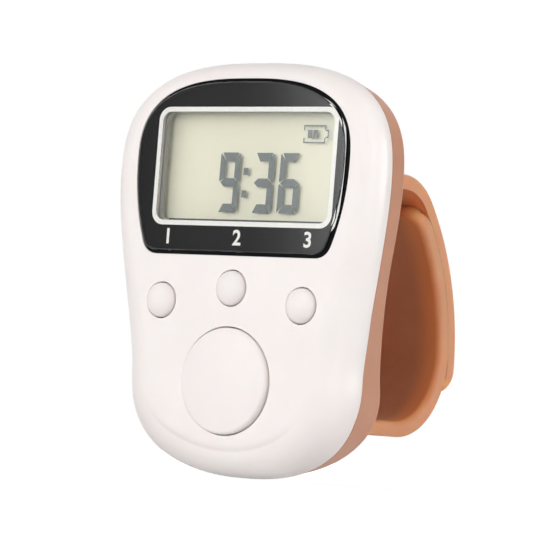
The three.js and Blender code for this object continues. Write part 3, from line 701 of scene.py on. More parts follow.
def cover_body():
    seam = seam_depth(OUTLINE[:, 1])
    side_end, inward = drafted_wall(0, BACK_EDGE_RADIUS, seam)
    rings = [
        case_ring(SIDE_WALL, lambda x, z: seam_depth(z) + SEAM_GAP),
        case_ring(SEAM_CHAMFER, seam + SEAM_GAP),
    ]
    start = seam + SEAM_CHAMFER
    for share in np.linspace(0, 1, COVER_SIDE_RINGS):
        depth = start + (side_end - start) * share
        rings.append(case_ring(draft_inward(depth, seam), depth))
    for grown, shrunk in quarter(COVER_EDGE_RINGS)[1:]:
        fall = BACK_EDGE_RADIUS * shrunk
        rings.append(case_ring(inward + BACK_EDGE_RADIUS * grown, lambda x, z: back_depth(z) - fall))
    rim = OUTLINE - OUTWARD * (inward + BACK_EDGE_RADIUS)[:, None]
    rings += toward_middle(rim, np.linspace(1, 0, BACK_RINGS)[1:-1], lambda x, z: back_depth(z))
    inner_end, inner = drafted_wall(SIDE_WALL, BACK_WALL, seam)
    rings = rings[::-1] + [case_ring(inner, inner_end)]
    rim = OUTLINE - OUTWARD * inner[:, None]
    shares = np.linspace(1, 0, INSIDE_RINGS)[1:-1]
    rings += toward_middle(rim, shares, lambda x, z: back_depth(z) - BACK_WALL)
    middle = back_depth(CASE_MIDDLE[1])
    return loft(rings, case_middle(middle), case_middle(middle - BACK_WALL))


def prism(outline, x0, x1, ease):
    """A shape in y and z extruded along X, with eased edges. The outline turns anticlockwise."""
    along = np.roll(outline, -1, axis=0) - np.roll(outline, 1, axis=0)
    along /= np.linalg.norm(along, axis=1)[:, None]
    inward = np.column_stack([-along[:, 1], along[:, 0]])
    rings = []
    for end, way in ((x0, 1), (x1, -1)):
        part = [
            np.insert(outline + inward * (ease * shrunk), 0, end + way * ease * grown, axis=1)
            for grown, shrunk in quarter(LUG_EASE_RINGS)
        ]
        rings += part[::way]
    return loft(rings)


def lug_outline(pin, root):
    """An ear's side view: a round end over the pin and a fillet on each side of its root."""
    y, z = pin
    reach = LUG_RADIUS + LUG_FILLET
    side = [(root - LUG_SUNK, reach), (root - LUG_TOE, reach)]
    for grown, shrunk in quarter(LUG_FILLET_STEPS)[1:]:
        side.append((root + LUG_FILLET * grown, reach - LUG_FILLET * (1 - shrunk)))
    turn = np.radians(np.linspace(-90, 90, LUG_NOSE_STEPS))
    nose = np.column_stack([y + LUG_RADIUS * np.cos(turn), z + LUG_RADIUS * np.sin(turn)])
    low, high = ([(out, z + way * up) for out, up in side[::-way]] for way in (-1, 1))
    return np.vstack([low, nose, high])


def head_well(place, seat, surface):
    """The well that a screw's head sits in, flared where it meets the back face."""
    wall = CASE_HEAD_RADIUS + HEAD_CLEARANCE
    profile = [(0, seat), (wall, seat), (wall, surface - WELL_EASE)]
    for grown, shrunk in quarter(WELL_EASE_RINGS)[1:]:
        profile.append((wall + WELL_EASE * grown, surface - WELL_EASE * shrunk + WELL_PROUD))
    profile += [(wall + WELL_EASE, surface + CUTTER_OUT), (0, surface + CUTTER_OUT)]
    return turned(place, profile)


def build_cover():
    cover = make("cover", cover_body())
    joined, holes = [], [pin_bore(pin, PIN_HALF_LENGTH + PIN_END_GAP) for pin in (UPPER_PIN, LOWER_PIN)]
    for (x, z), head_back in zip(CASE_SCREWS, CASE_HEAD_BACKS):
        surface = float(back_depth(z))
        seat = head_back - CASE_HEAD_HEIGHT - SEAT_CLEARANCE
        for place in ((-x, z), (x, z)):
            joined.append(bar(place, BOSS_RADIUS, BOSS_FRONT, surface - BOSS_SUNK, BOSS_SIDES))
            holes += [bar(place, *SHANK_HOLE, SHANK_HOLE_SIDES), head_well(place, seat, surface)]
    for pin, root in ((UPPER_PIN, 0.0), (LOWER_PIN, y_at(BULGE_DEPTH))):
        outline = lug_outline(pin, root)
        joined.append(prism(outline, LUG_INNER, LUG_OUTER, LUG_EASE))
        joined.append(prism(outline, -LUG_OUTER, -LUG_INNER, LUG_EASE))
    combine(cover, joined, "UNION")
    combine(cover, holes, "DIFFERENCE")
    return smooth(cover)


# Keys


def key_body(face):
    """A key's profile: its face, then the flange that holds it in and the stem behind."""
    rim = face[-1][0]
    return face + [
        (rim, FLANGE_FRONT),
        (rim + FLANGE_WIDTH, FLANGE_FRONT),
        (rim + FLANGE_WIDTH, FLANGE_BACK),
        (STEM_RADIUS, FLANGE_BACK),
        (STEM_RADIUS, STEM_BACK),
        (0, STEM_BACK),
    ]


def small_key_profile():
    points = []
    high, power = SMALL_KEY_STAND + SMALL_KEY_SIDE, 2 / SMALL_KEY_FULLNESS
    for grown, shrunk in quarter(SMALL_KEY_RINGS):
        lift = high * max(1 - grown, 0) ** power
        points.append((SMALL_KEY_RADIUS * (1 - shrunk) ** power, SMALL_KEY_SIDE - lift))
    return key_body(points)


def count_key_profile():
    slope = math.radians(COUNT_KEY_SLOPE)
    middle = COUNT_KEY_RADIUS - COUNT_KEY_EDGE
    edge = [
        (middle + COUNT_KEY_EDGE * math.sin(angle), COUNT_KEY_SIDE - COUNT_KEY_EDGE * math.cos(angle))
        for angle in np.linspace(slope, math.pi / 2, COUNT_EDGE_RINGS)
    ]
    rim, depth = edge[0]
    crown = rim * math.tan(slope) / 2
    shares = np.linspace(0, 1, COUNT_FACE_RINGS)[:-1]
    return key_body([(rim * share, depth - crown * (1 - share * share)) for share in shares] + edge)


# Lens, what is printed on its back, and the black fill in its gap


def build_lens():
    """A cut and polished plate with a bevel round its front."""
    rings = [
        lens_ring(-LENS_BEVEL, -LENS_STAND),
        lens_ring(0, -LENS_STAND + LENS_BEVEL),
        lens_ring(0, LENS_BACK - LENS_EASE),
        lens_ring(-LENS_EASE, LENS_BACK),
    ]
    return smooth(make("lens", loft(rings)), 40)


def band_between(outer, inner, front, back):
    """A flat ring between two loops of one count, from one depth to another."""
    rings = [ring_at(outer, front), ring_at(inner, front), ring_at(inner, back), ring_at(outer, back)]
    points = np.vstack(rings)
    count = len(outer)
    faces = []
    for k in range(4):
        a, b = k * count, ((k + 1) % 4) * count
        faces += [(a + i, b + i, b + (i + 1) % count, a + (i + 1) % count) for i in range(count)]
    return points, faces


def matched_loop(loop, other):
    """The points of one loop that lie at the same angles round the window's middle as another's."""
    middle = np.array([WINDOW_MIDDLE, (WINDOW_TOP + WINDOW_BOTTOM) / 2])

    def turn(points):
        return np.mod(np.arctan2(*(points - middle).T[::-1]), 2 * np.pi)

    order = np.argsort(turn(loop))
    radii = np.linalg.norm(loop - middle, axis=1)[order]
    wanted = turn(other)
    radius = np.interp(wanted, turn(loop)[order], radii, period=2 * np.pi)
    return middle + np.column_stack([np.cos(wanted), np.sin(wanted)]) * radius[:, None]


def build_print():
    inner = window_loop(0, WINDOW_CORNER, PRINT_COUNT)
    outer = matched_loop(LENS_POINTS - LENS_OUT * PRINT_EDGE, inner)
    mask = make("lens_print", band_between(outer, inner, PRINT_DEPTH, PRINT_DEPTH + PRINT_THICKNESS))
    corner = WINDOW_CORNER + FRAME_LINE * LINE_CORNER_SHARE
    line = matched_loop(window_loop(FRAME_LINE, corner, PRINT_COUNT), inner)
    return mask, make("frame_line", band_between(line, inner, LINE_DEPTH, LINE_DEPTH + LINE_THICKNESS))


def build_gap_fill():
    """A black ring that fills the gap between the lens and its pocket, pressed on the lens's side. It is
    partly the lens's dark edge and partly painted shade in the gap.
    """
    outer = LENS_POINTS + LENS_OUT * (LENS_GAP - GAP_FILL_CLEARANCE)
    inner = LENS_POINTS - LENS_OUT * GAP_FILL_BITE
    return make("lens_seal", band_between(outer, inner, GAP_FILL_DEPTH, POCKET_DEPTH - GAP_FILL_BACK_CLEARANCE))


def number_mesh(words, x):
    """A flat number that faces the front, made a mesh before it is put in place."""
    curve = bpy.data.curves.new("number", "FONT")
    curve.body = words
    curve.size = NUMBER_SIZE * MM
    curve.extrude = NUMBER_THICKNESS / 2 * MM
    curve.offset = NUMBER_SWELL * MM
    curve.align_x = curve.align_y = "CENTER"
    holder = added("number_curve", curve)
    bpy.context.view_layer.update()
    graph = bpy.context.evaluated_depsgraph_get()
    mesh = bpy.data.meshes.new_from_object(holder.evaluated_get(graph), depsgraph=graph)
    bpy.data.objects.remove(holder)
    mesh.transform(Matrix.Rotation(math.pi / 2, 4, "X"))
    mesh.transform(Matrix.Translation(Vector((x, y_at(NUMBER_DEPTH), NUMBER_HEIGHT)) * MM))
    return mesh


def joined_meshes(name, meshes):
    """Several meshes as one object."""
    points, faces = [], []
    for mesh in meshes:
        base = len(points)
        points += [tuple(v.co) for v in mesh.vertices]
        faces += [tuple(base + i for i in p.vertices) for p in mesh.polygons]
        bpy.data.meshes.remove(mesh)
    return added(name, mesh_of(name, points, faces))


# Display


DIGIT_WIDTH = 2.56
DIGIT_HEIGHT = 6.22
DIGIT_LEAN = 0.016
DIGIT_FOOT = -0.33
STROKE_UPRIGHT = 0.68
STROKE_LEVEL = 0.9
SEGMENT_GAP = 0.075
SEGMENT_CUT = 0.2
SEGMENT_NICK = 0.12
SEGMENT_LEAN = 0.05
SEGMENT_NOSE = 0.17
SEGMENT_WAIST = 0.22
DIGITS = (("9", -4.25), ("3", 0.07), ("6", 3.4))
SEGMENTS_LIT = {"9": "abcfgd", "3": "abcdg", "6": "acdefg"}
COLON_DOTS = ((-0.82, 3.95), (-0.9, 1.61))
COLON_HALF_SIZES = (0.3, 0.37)
# The battery sign: its body's sides, its nub's sides, its bars, and where its left side is broken
SIGN_BODY = (6.12, 8.85, 6.92, 8.79)
SIGN_NUB = (9.1, 7.45, 8.3)
SIGN_BARS = ((6.64, 7.18), (7.34, 7.86))
SIGN_LINE = 0.14
SIGN_STUB = 0.55


def segment_outlines():
    """The seven segments of a digit cell, mitred where they meet."""
    w, h, t, s, gap = DIGIT_WIDTH, DIGIT_HEIGHT, STROKE_UPRIGHT, STROKE_LEVEL, SEGMENT_GAP
    cut, nick, lean, nose = SEGMENT_CUT, SEGMENT_NICK, SEGMENT_LEAN, SEGMENT_NOSE
    mid, half = h / 2, s / 2
    a = [
        (cut + gap, h - nick / 2), (cut + nick, h), (w - cut - nick, h),
        (w - cut - gap, h - nick / 2), (w - t - gap, h - s), (t + gap, h - s),
    ]
    b = [
        (w, h - cut), (w - lean, h - cut + nick), (w - t, h - s + gap),
        (w - t, mid + half + gap), (w - lean * 2, mid + gap * 1.2), (w, mid + SEGMENT_WAIST),
    ]
    g = [
        (nose, mid), (t, mid + half), (w - t, mid + half),
        (w - nose, mid), (w - t, mid - half), (t, mid - half),
    ]
    c, d = ([(x, h - z) for x, z in segment][::-1] for segment in (b, a))
    f, e = ([(w - x, z) for x, z in segment][::-1] for segment in (b, c))
    return {"a": a, "b": b, "c": c, "d": d, "e": e, "f": f, "g": g}


def flat_plate(outline, front, back):
    loop = np.array(outline)
    return loft([ring_at(loop, front), ring_at(loop, back)])


def rectangle(x0, x1, z0, z1):
    return [(x0, z0), (x1, z0), (x1, z1), (x0, z1)]


def display_marks():
    cell = segment_outlines()
    outlines = [
        [(left + x + DIGIT_LEAN * z, DIGIT_FOOT + z) for x, z in cell[key]]
        for digit, left in DIGITS for key in SEGMENTS_LIT[digit]
    ]
    half_x, half_z = COLON_HALF_SIZES
    outlines += [rectangle(x - half_x, x + half_x, z - half_z, z + half_z) for x, z in COLON_DOTS]
    line, (left, right, low, high), (nub, nub_low, nub_high) = SIGN_LINE, SIGN_BODY, SIGN_NUB
    outlines += [
        rectangle(left, right, high - line, high),
        rectangle(left, right, low, low + line),
        rectangle(left, left + line, high - SIGN_STUB, high - line),
        rectangle(left, left + line, low + line, low + SIGN_STUB),
        rectangle(right - line, right, nub_high, high - line),
        rectangle(right - line, right, low + line, nub_low),
        rectangle(right, nub, nub_high - line, nub_high),
        rectangle(right, nub, nub_low, nub_low + line),
        rectangle(nub, nub + line, nub_low, nub_high),
    ]
    return outlines + [rectangle(x0, x1, nub_low, nub_high) for x0, x1 in SIGN_BARS]


def merged(shapes):
    points, faces = [], []
    for shape in shapes:
        base = sum(len(p) for p in points)
        part, part_faces = outwards(shape)
        points.append(part)
        faces += [tuple(base + i for i in face) for face in part_faces]
    return np.vstack(points), faces


def layer_plate(margin, front, back):
    """A layer of the display, smaller than its holder by a margin."""
    low, high = HOLDER_BOTTOM + margin, HOLDER_TOP - margin
    box = rounded_box(0, HOLDER_HALF_WIDTH - margin, low, high, LAYER_CORNER, LAYER_CORNER_STEPS)
    return flat_plate(box, front, back)


# Straps: each is swept along a path of straight parts and arcs in y and z


def arc(centre, radius, start, end):
    count = max(3, int(abs(math.radians(end - start)) * radius / ARC_STEP))
    angles = np.radians(np.linspace(start, end, count))
    return np.column_stack([centre[0] + radius * np.cos(angles), centre[1] + radius * np.sin(angles)])


SHOULDER_ANGLE = 90 - SHOULDER_TURN
SHOULDER = (SHOULDER_START, UPPER_PIN[1] - SHOULDER_RADIUS)
BACK = (
    SHOULDER[0] + (SHOULDER_RADIUS - BACK_RADIUS) * math.cos(math.radians(SHOULDER_ANGLE)),
    SHOULDER[1] + (SHOULDER_RADIUS - BACK_RADIUS) * math.sin(math.radians(SHOULDER_ANGLE)),
)
INNER_SHIFT = STRAP_THICKNESS + STRAP_GAP
HEEL_REACH = BACK_RADIUS - INNER_SHIFT - HEEL_RADIUS
HEEL_TURN = math.asin((LOWER_PIN[1] + HEEL_RADIUS - BACK[1]) / HEEL_REACH)
HEEL = (BACK[0] + HEEL_REACH * math.cos(HEEL_TURN), LOWER_PIN[1] + HEEL_RADIUS)


def upper_path():
    back_y = BACK[0] + BACK_RADIUS
    return np.vstack([
        [UPPER_PIN],
        arc(SHOULDER, SHOULDER_RADIUS, 90, SHOULDER_ANGLE),
        arc(BACK, BACK_RADIUS, SHOULDER_ANGLE, 0)[1:],
        [(back_y, BACK[1] - UPPER_TAIL)],
    ])


def lower_path():
    return np.vstack([
        [LOWER_PIN],
        arc(HEEL, HEEL_RADIUS, -90, math.degrees(HEEL_TURN)),
        arc(BACK, BACK_RADIUS - INNER_SHIFT, math.degrees(HEEL_TURN), SHOULDER_ANGLE)[1:],
        arc(SHOULDER, SHOULDER_RADIUS - INNER_SHIFT, SHOULDER_ANGLE, TIP_TURN)[1:],
    ])


class Path:
    """A curve in y and z that gives a point at a length along it and a height off it."""

    def __init__(self, points, outward):
        keep = np.concatenate([[True], np.linalg.norm(np.diff(points, axis=0), axis=1) > 1e-6])
        self.points = points[keep]
        steps = np.linalg.norm(np.diff(self.points, axis=0), axis=1)
        self.reach = np.concatenate([[0], np.cumsum(steps)])
        self.length = self.reach[-1]
        self.outward = outward

    def on_line(self, s):
        return np.column_stack([np.interp(s, self.reach, self.points[:, k]) for k in (0, 1)])

    def heading(self, s):
        s = np.clip(s, 0, self.length)
        low, high = (np.clip(s + step, 0, self.length) for step in (-HEADING_STEP, HEADING_STEP))
        along = self.on_line(high) - self.on_line(low)
        return along / np.linalg.norm(along, axis=1)[:, None]

    def at(self, x, s, lift):
        """Points at x across the band, s along it and lift off its middle."""
        s = np.broadcast_to(np.asarray(s, float), np.shape(x))
        along = self.heading(s)
        off = np.column_stack([along[:, 1], -along[:, 0]]) * self.outward
        inside = np.clip(s, 0, self.length)
        place = self.on_line(inside) + along * (s - inside)[:, None]
        return np.column_stack([x, place + off * np.broadcast_to(lift, np.shape(x))[:, None]])

    def length_at(self, height):
        """The length along the path where its middle is at a height, on its long back part."""
        far = self.points[:, 0] > SHOULDER_START + 2
        order = np.argsort(self.points[far, 1])
        return float(np.interp(height, self.points[far, 1][order], self.reach[far][order]))


def band_section(half_width, half_thick, outer_face, inner_face):
    """A rounded rectangle across a band, as x and lift, in order round it."""
    points = []
    turns = np.linspace(0, 90, STRAP_CORNER_STEPS)
    for side, way, start, (edge, closer) in (
        (1, 1, 90, outer_face), (1, -1, 0, inner_face),
        (-1, -1, -90, inner_face), (-1, 1, -180, outer_face),
    ):
        edge = min(edge, half_thick * 0.98, half_width)
        across, lift = side * (half_width - edge), way * (half_thick + closer - edge)
        for angle in np.radians(start - turns):
            points.append((across + edge * math.cos(angle), lift + edge * math.sin(angle)))
    dense = []
    for i, point in enumerate(points):
        dense.append(point)
        if (i + 1) % (2 * len(turns)) == 0:
            ahead = points[(i + 1) % len(points)]
            shares = np.linspace(0, 1, STRAP_FACE_STEPS)[1:-1, None]
            dense += [tuple(p) for p in np.array(point) * (1 - shares) + np.array(ahead) * shares]
    return np.array(dense)


def shrunk_by(radius, left):
    """How much a round end of a radius has drawn in where a length is left to its tip."""
    return radius - math.sqrt(max(radius**2 - max(radius - left, 0) ** 2, 0))


def band(path, outer_face, inner_face):
    """A band from the round eye at its pin to a tip with rounded corners and eased edges."""
    half = STRAP_THICKNESS / 2
    nose = -EYE_RADIUS * np.cos(np.linspace(0, np.pi / 2, EYE_RINGS))
    eye = np.linspace(0, EYE_LENGTH, EYE_RINGS)[1:]
    long_part = np.arange(BAND_START, path.length - STRAP_CORNER, STRAP_RING_STEP)
    tip = path.length - STRAP_CORNER * (1 - np.sin(np.linspace(0, np.pi / 2, TIP_RINGS)))
    rings = []
    for s in np.concatenate([nose[1:], eye, long_part, tip]):
        round_eye = math.sqrt(max(EYE_RADIUS**2 - s * s, 0))
        rest, blend = (half, EYE_BLEND) if s > 0 else (0, NOSE_BLEND)
        thick = half if s > EYE_END else float(soft_max(round_eye, rest, blend))
        left = path.length - s
        if left < STRAP_EDGE:
            thick = half - shrunk_by(STRAP_EDGE, left)
        wide = STRAP_HALF_WIDTH - shrunk_by(STRAP_CORNER, left)
        section = band_section(wide, max(thick, STRAP_THINNEST), outer_face, inner_face)
        rings.append(path.at(section[:, 0], s, section[:, 1]))
    return loft(rings)


def slot_cutter(path):
    """A long slot with round ends through the band, flared at both of its faces."""
    start, end = sorted(path.length_at(height) for height in (SLOT_TOP, SLOT_BOTTOM))
    start, end = start + SLOT_HALF_WIDTH, end - SLOT_HALF_WIDTH
    half = STRAP_THICKNESS / 2
    turn = np.radians(np.linspace(0, 180, SLOT_END_STEPS))
    straight = np.linspace(0, 1, SLOT_END_STEPS)[1:-1]

    def ring(margin, lift):
        wide = SLOT_HALF_WIDTH + margin
        x, s = wide * np.cos(turn), wide * np.sin(turn)
        side = np.full(len(straight), wide)
        run = (end - start) * straight
        along = np.concatenate([end + s, end - run, start - s, start + run])
        return path.at(np.concatenate([x, -side, -x, side]), along, lift)

    flare = []
    for grown, shrunk in quarter(SLOT_EASE_RINGS):
        flare.append((SLOT_EASE * grown, half - SLOT_EASE * (shrunk - FLARE_LIFT)))
    rings = [ring(SLOT_EASE, -half - SLOT_CLEARANCE)]
    rings += [ring(margin, -lift) for margin, lift in flare[::-1]]
    rings += [ring(margin, lift) for margin, lift in flare]
    return loft(rings + [ring(SLOT_EASE, half + SLOT_CLEARANCE)])


def stud(path, height):
    """A mushroom stud that stands on the lower band and passes through the upper band's slot."""
    s = path.length_at(height)
    face = STRAP_THICKNESS / 2
    top = INNER_SHIFT + face + STUD_HEAD
    head = INNER_SHIFT + face + STRAP_GAP
    root = STUD_NECK_RADIUS + STUD_FILLET
    profile = [(root, STUD_ROOT), (root, face)]
    for grown, shrunk in quarter(STUD_FILLET_RINGS)[1:]:
        profile.append((STUD_NECK_RADIUS + STUD_FILLET * shrunk, face + STUD_FILLET * grown))
    profile += [(STUD_NECK_RADIUS, head), (STUD_RADIUS - STUD_LIP, head)]
    rim = head + STUD_RIM
    for angle in np.linspace(0, np.pi / 2, STUD_RINGS)[:-1]:
        radius = STUD_RADIUS * math.cos(angle) ** STUD_FULLNESS
        profile.append((radius, rim + (top - rim) * math.sin(angle)))
    origin = path.at(np.zeros(1), s, 0.0)[0]
    along = path.heading(np.array([s]))[0]
    off = np.array([0, along[1], -along[0]]) * path.outward
    rings = []
    for radius, lift in profile:
        ahead, aside = circle((0, 0), radius, STUD_SIDES).T
        ring = origin + off * lift + np.outer(ahead, (0, *along))
        rings.append(ring + np.outer(aside, (1, 0, 0)))
    return loft(rings, origin + off * STUD_ROOT, origin + off * top)


def build_straps():
    upper, lower = Path(upper_path(), -1), Path(lower_path(), 1)
    upper_band = make("upper_strap_band", band(upper, OUTSIDE_FACE, MEETING_FACE))
    lower_band = make("lower_strap_band", band(lower, MEETING_FACE, INSIDE_FACE))
    reach = STRAP_HALF_WIDTH + CUTTER_OUT
    combine(upper_band, [pin_bore(UPPER_PIN, reach), slot_cutter(upper)], "DIFFERENCE")
    combine(lower_band, [pin_bore(LOWER_PIN, reach)], "DIFFERENCE")
    combine(lower_band, [stud(lower, height) for height in STUD_HEIGHTS], "UNION")
    return [smooth(piece, 40) for piece in (upper_band, lower_band)]


def pin_profile():
    end, steps = PIN_HALF_LENGTH - PIN_DOME, quarter(PIN_DOME_RINGS)
    side = [(end + PIN_DOME * (1 - shrunk), PIN_RADIUS * (1 - grown)) for grown, shrunk in steps]
    return [(-x, radius) for x, radius in side[::-1]] + side


def ink(code):
    """An sRGB hex colour as linear values with full opacity."""
    parts = [int(code[k : k + 2], 16) / 255 for k in (0, 2, 4)]
    return tuple(c / 12.92 if c <= 0.04045 else ((c + 0.055) / 1.055) ** 2.4 for c in parts) + (1.0,)


def node(tree, kind, inputs=None, **settings):
    """Adds a node with its settings, each input a value or another node's output."""
    made = tree.nodes.new(kind)
    for key, value in settings.items():
        setattr(made, key, value)
    for key, value in (inputs or {}).items():
        if isinstance(value, bpy.types.NodeSocket):
            tree.links.new(value, made.inputs[key])
        else:
            made.inputs[key].default_value = value
    return made


def per(size):
    """A texture scale whose features are a size in millimetres, on coordinates in metres."""
    return 1 / (size * MM)


def material(name, surface, *values, **options):
    """A material whose surface is what a function makes in its tree."""
    made = bpy.data.materials.new(name)
    made.use_nodes = True
    made.node_tree.nodes.clear()
    shader = surface(made.node_tree, *values, **options)
    node(made.node_tree, "ShaderNodeOutputMaterial", {"Surface": shader.outputs[0]})
    return made


def two_tones(tree, pattern, dark, light):
    """A colour that goes from one tone to another with the middle values of a noise."""
    share = node(tree, "ShaderNodeMapRange", {"Value": pattern, "From Min": 0.3, "From Max": 0.7})
    mixed = node(tree, "ShaderNodeMix", {
        0: share.outputs["Result"], 6: ink(dark), 7: ink(light),
    }, data_type="RGBA")
    return mixed.outputs[2]


def moulded_plastic(tree, base, cloud, roughness, grain, relief, subsurface=0.0, specular=0.5):
    """Injection-moulded plastic: even colour with faint clouding, a fine spark-eroded grain in the
    surface and a slightly uneven gloss."""
    place = node(tree, "ShaderNodeTexCoord").outputs["Object"]
    clouds, gloss, fine, wavy = (
        node(tree, "ShaderNodeTexNoise", {"Vector": place, "Scale": per(size), "Detail": detail})
        for size, detail in ((7, 3.0), (2.2, 4.0), (grain, 2.0), (3.5, 1.0))
    )
    rough = node(tree, "ShaderNodeMapRange", {
        "Value": gloss.outputs["Fac"], "From Min": 0.3, "From Max": 0.7,
        "To Min": roughness - 0.04, "To Max": roughness + 0.05,
    })
    broad = node(tree, "ShaderNodeBump", {
        "Height": wavy.outputs["Fac"], "Strength": 1.0, "Distance": 0.006 * MM,
    })
    bump = node(tree, "ShaderNodeBump", {
        "Height": fine.outputs["Fac"], "Strength": 1.0, "Distance": relief * MM,
        "Normal": broad.outputs["Normal"],
    })
    return node(tree, "ShaderNodeBsdfPrincipled", {
        "Base Color": two_tones(tree, clouds.outputs["Fac"], base, cloud),
        "Roughness": rough.outputs["Result"], "Normal": bump.outputs["Normal"],
        "IOR": 1.53, "Specular IOR Level": specular, "Subsurface Weight": subsurface,
        "Subsurface Radius": (1.0, 0.6, 0.45), "Subsurface Scale": 0.5 * MM,
    })


def painted_edge_glow(tree, place):
    """From 0 to 1, how strongly a painted glow shows at a point of a band: it rises towards the long
    edges, where light shines through, and falls off at the very edge.
    """
    parts = node(tree, "ShaderNodeSeparateXYZ", {"Vector": place})
    aside = node(tree, "ShaderNodeMath", {0: parts.outputs["X"]}, operation="ABSOLUTE")
    rise, fall = (
        node(tree, "ShaderNodeMapRange", {
            "Value": aside.outputs[0], "From Min": start * MM, "From Max": end * MM,
            "To Min": low, "To Max": high,
        }, interpolation_type="SMOOTHSTEP").outputs["Result"]
        for start, end, low, high in ((4.2, 6.6, 0.0, 1.0), (7.0, 7.45, 1.0, 0.0))
    )
    return node(tree, "ShaderNodeMath", {0: rise, 1: fall}, operation="MULTIPLY").outputs[0]


def moulded_silicone(tree):
    """Liquid silicone rubber, moulded: soft matt skin with a bloom of fine dust-like haze. Light soaks in
    and comes back warm, and a brighter orange glow is painted into its colour along the long edges of a
    band."""
    place = node(tree, "ShaderNodeTexCoord").outputs["Object"]
    clouds, fine = (
        node(tree, "ShaderNodeTexNoise", {"Vector": place, "Scale": per(size), "Detail": 3.0})
        for size in (5, 0.22)
    )
    skin = two_tones(tree, clouds.outputs["Fac"], "dc9a72", "e2a27a")
    # Painted glow: the skin's colour turns bright orange near the long edges, for light that shines
    # through them.
    colour = node(tree, "ShaderNodeMix", {
        0: painted_edge_glow(tree, place), 6: skin, 7: ink("feae74"),
    }, data_type="RGBA")
    rough = node(tree, "ShaderNodeMapRange", {
        "Value": fine.outputs["Fac"], "From Min": 0.3, "From Max": 0.7, "To Min": 0.52, "To Max": 0.66,
    })
    bump = node(tree, "ShaderNodeBump", {
        "Height": fine.outputs["Fac"], "Strength": 1.0, "Distance": 0.006 * MM,
    })
    return node(tree, "ShaderNodeBsdfPrincipled", {
        "Base Color": colour.outputs[2], "Roughness": rough.outputs["Result"],
        "Normal": bump.outputs["Normal"],
        "IOR": 1.41, "Specular IOR Level": 0.4, "Subsurface Weight": 0.65,
        "Subsurface Radius": (1.0, 0.35, 0.15), "Subsurface Scale": 1.6 * MM,
    })


def rays(tree, *kinds):
    """1 for rays of the named kinds and 0 for the rest."""
    path = node(tree, "ShaderNodeLightPath").outputs
    found = path[f"Is {kinds[0]} Ray"]
    for kind in kinds[1:]:
        either = {0: found, 1: path[f"Is {kind} Ray"]}
        found = node(tree, "ShaderNodeMath", either, operation="MAXIMUM").outputs[0]
    return found


def clear_acrylic(tree):
    """Cast acrylic sheet, cut and polished: clear, with a trace of waviness in its gloss. Lamps and
    bounced light pass straight through it, so that what lies behind is lit evenly."""
    place = node(tree, "ShaderNodeTexCoord").outputs["Object"]
    wave = node(tree, "ShaderNodeTexNoise", {"Vector": place, "Scale": per(9), "Detail": 1.0})
    bump = node(tree, "ShaderNodeBump", {
        "Height": wave.outputs["Fac"], "Strength": 1.0, "Distance": 0.002 * MM,
    })
    clear = node(tree, "ShaderNodeBsdfPrincipled", {
        "Base Color": ink("fbfbfa"), "Roughness": 0.02, "IOR": 1.49, "Transmission Weight": 1.0,
        "Normal": bump.outputs["Normal"],
    })
    through = node(tree, "ShaderNodeBsdfTransparent", {"Color": ink("fdfdfc")})
    return node(tree, "ShaderNodeMixShader", {
        0: rays(tree, "Shadow", "Diffuse"), 1: clear.outputs["BSDF"], 2: through.outputs["BSDF"],
    })


def screen_print(tree, base, speck, roughness):
    """Screen-printed ink wetted to the back of the lens: dense and even, with the faint dots of the
    mesh and no gloss of its own."""
    place = node(tree, "ShaderNodeTexCoord").outputs["Object"]
    dots = node(tree, "ShaderNodeTexNoise", {"Vector": place, "Scale": per(0.18), "Detail": 2.0})
    bump = node(tree, "ShaderNodeBump", {
        "Height": dots.outputs["Fac"], "Strength": 1.0, "Distance": 0.003 * MM,
    })
    return node(tree, "ShaderNodeBsdfPrincipled", {
        "Base Color": two_tones(tree, dots.outputs["Fac"], base, speck), "Roughness": roughness,
        "Normal": bump.outputs["Normal"], "Specular IOR Level": 0.0,
    })


def display_film(tree):
    """The display's silvered rear polariser: pale grey-green with a fine sparkle in it."""
    place = node(tree, "ShaderNodeTexCoord").outputs["Object"]
    fine = node(tree, "ShaderNodeTexNoise", {"Vector": place, "Scale": per(0.14), "Detail": 2.0})
    colour = two_tones(tree, fine.outputs["Fac"], "ebe9dd", "f0eee2")
    return node(tree, "ShaderNodeBsdfPrincipled", {"Base Color": colour, "Roughness": 0.55})


def display_glass(tree):
    """The display's front polariser over glass: see-through, with a dull anti-glare gloss."""
    place = node(tree, "ShaderNodeTexCoord").outputs["Object"]
    haze = node(tree, "ShaderNodeTexNoise", {"Vector": place, "Scale": per(0.1), "Detail": 1.0})
    rough = node(tree, "ShaderNodeMapRange", {
        "Value": haze.outputs["Fac"], "To Min": 0.3, "To Max": 0.42,
    })
    through = node(tree, "ShaderNodeBsdfTransparent", {"Color": ink("fbfbf6")})
    gloss = node(tree, "ShaderNodeBsdfGlossy", {
        "Color": ink("ffffff"), "Roughness": rough.outputs["Result"],
    })
    share = node(tree, "ShaderNodeFresnel", {"IOR": 1.3})
    return node(tree, "ShaderNodeMixShader", {
        0: share.outputs["Fac"], 1: through.outputs["BSDF"], 2: gloss.outputs["BSDF"],
    })


def liquid_crystal(tree):
    """Switched-on segments: blue-grey and a little see-through, so their edges stay soft."""
    place = node(tree, "ShaderNodeTexCoord").outputs["Object"]
    fine = node(tree, "ShaderNodeTexNoise", {"Vector": place, "Scale": per(0.2), "Detail": 2.0})
    colour = two_tones(tree, fine.outputs["Fac"], "6a737b", "747d86")
    return node(tree, "ShaderNodeBsdfPrincipled", {"Base Color": colour, "Roughness": 0.6, "Alpha": 0.92})


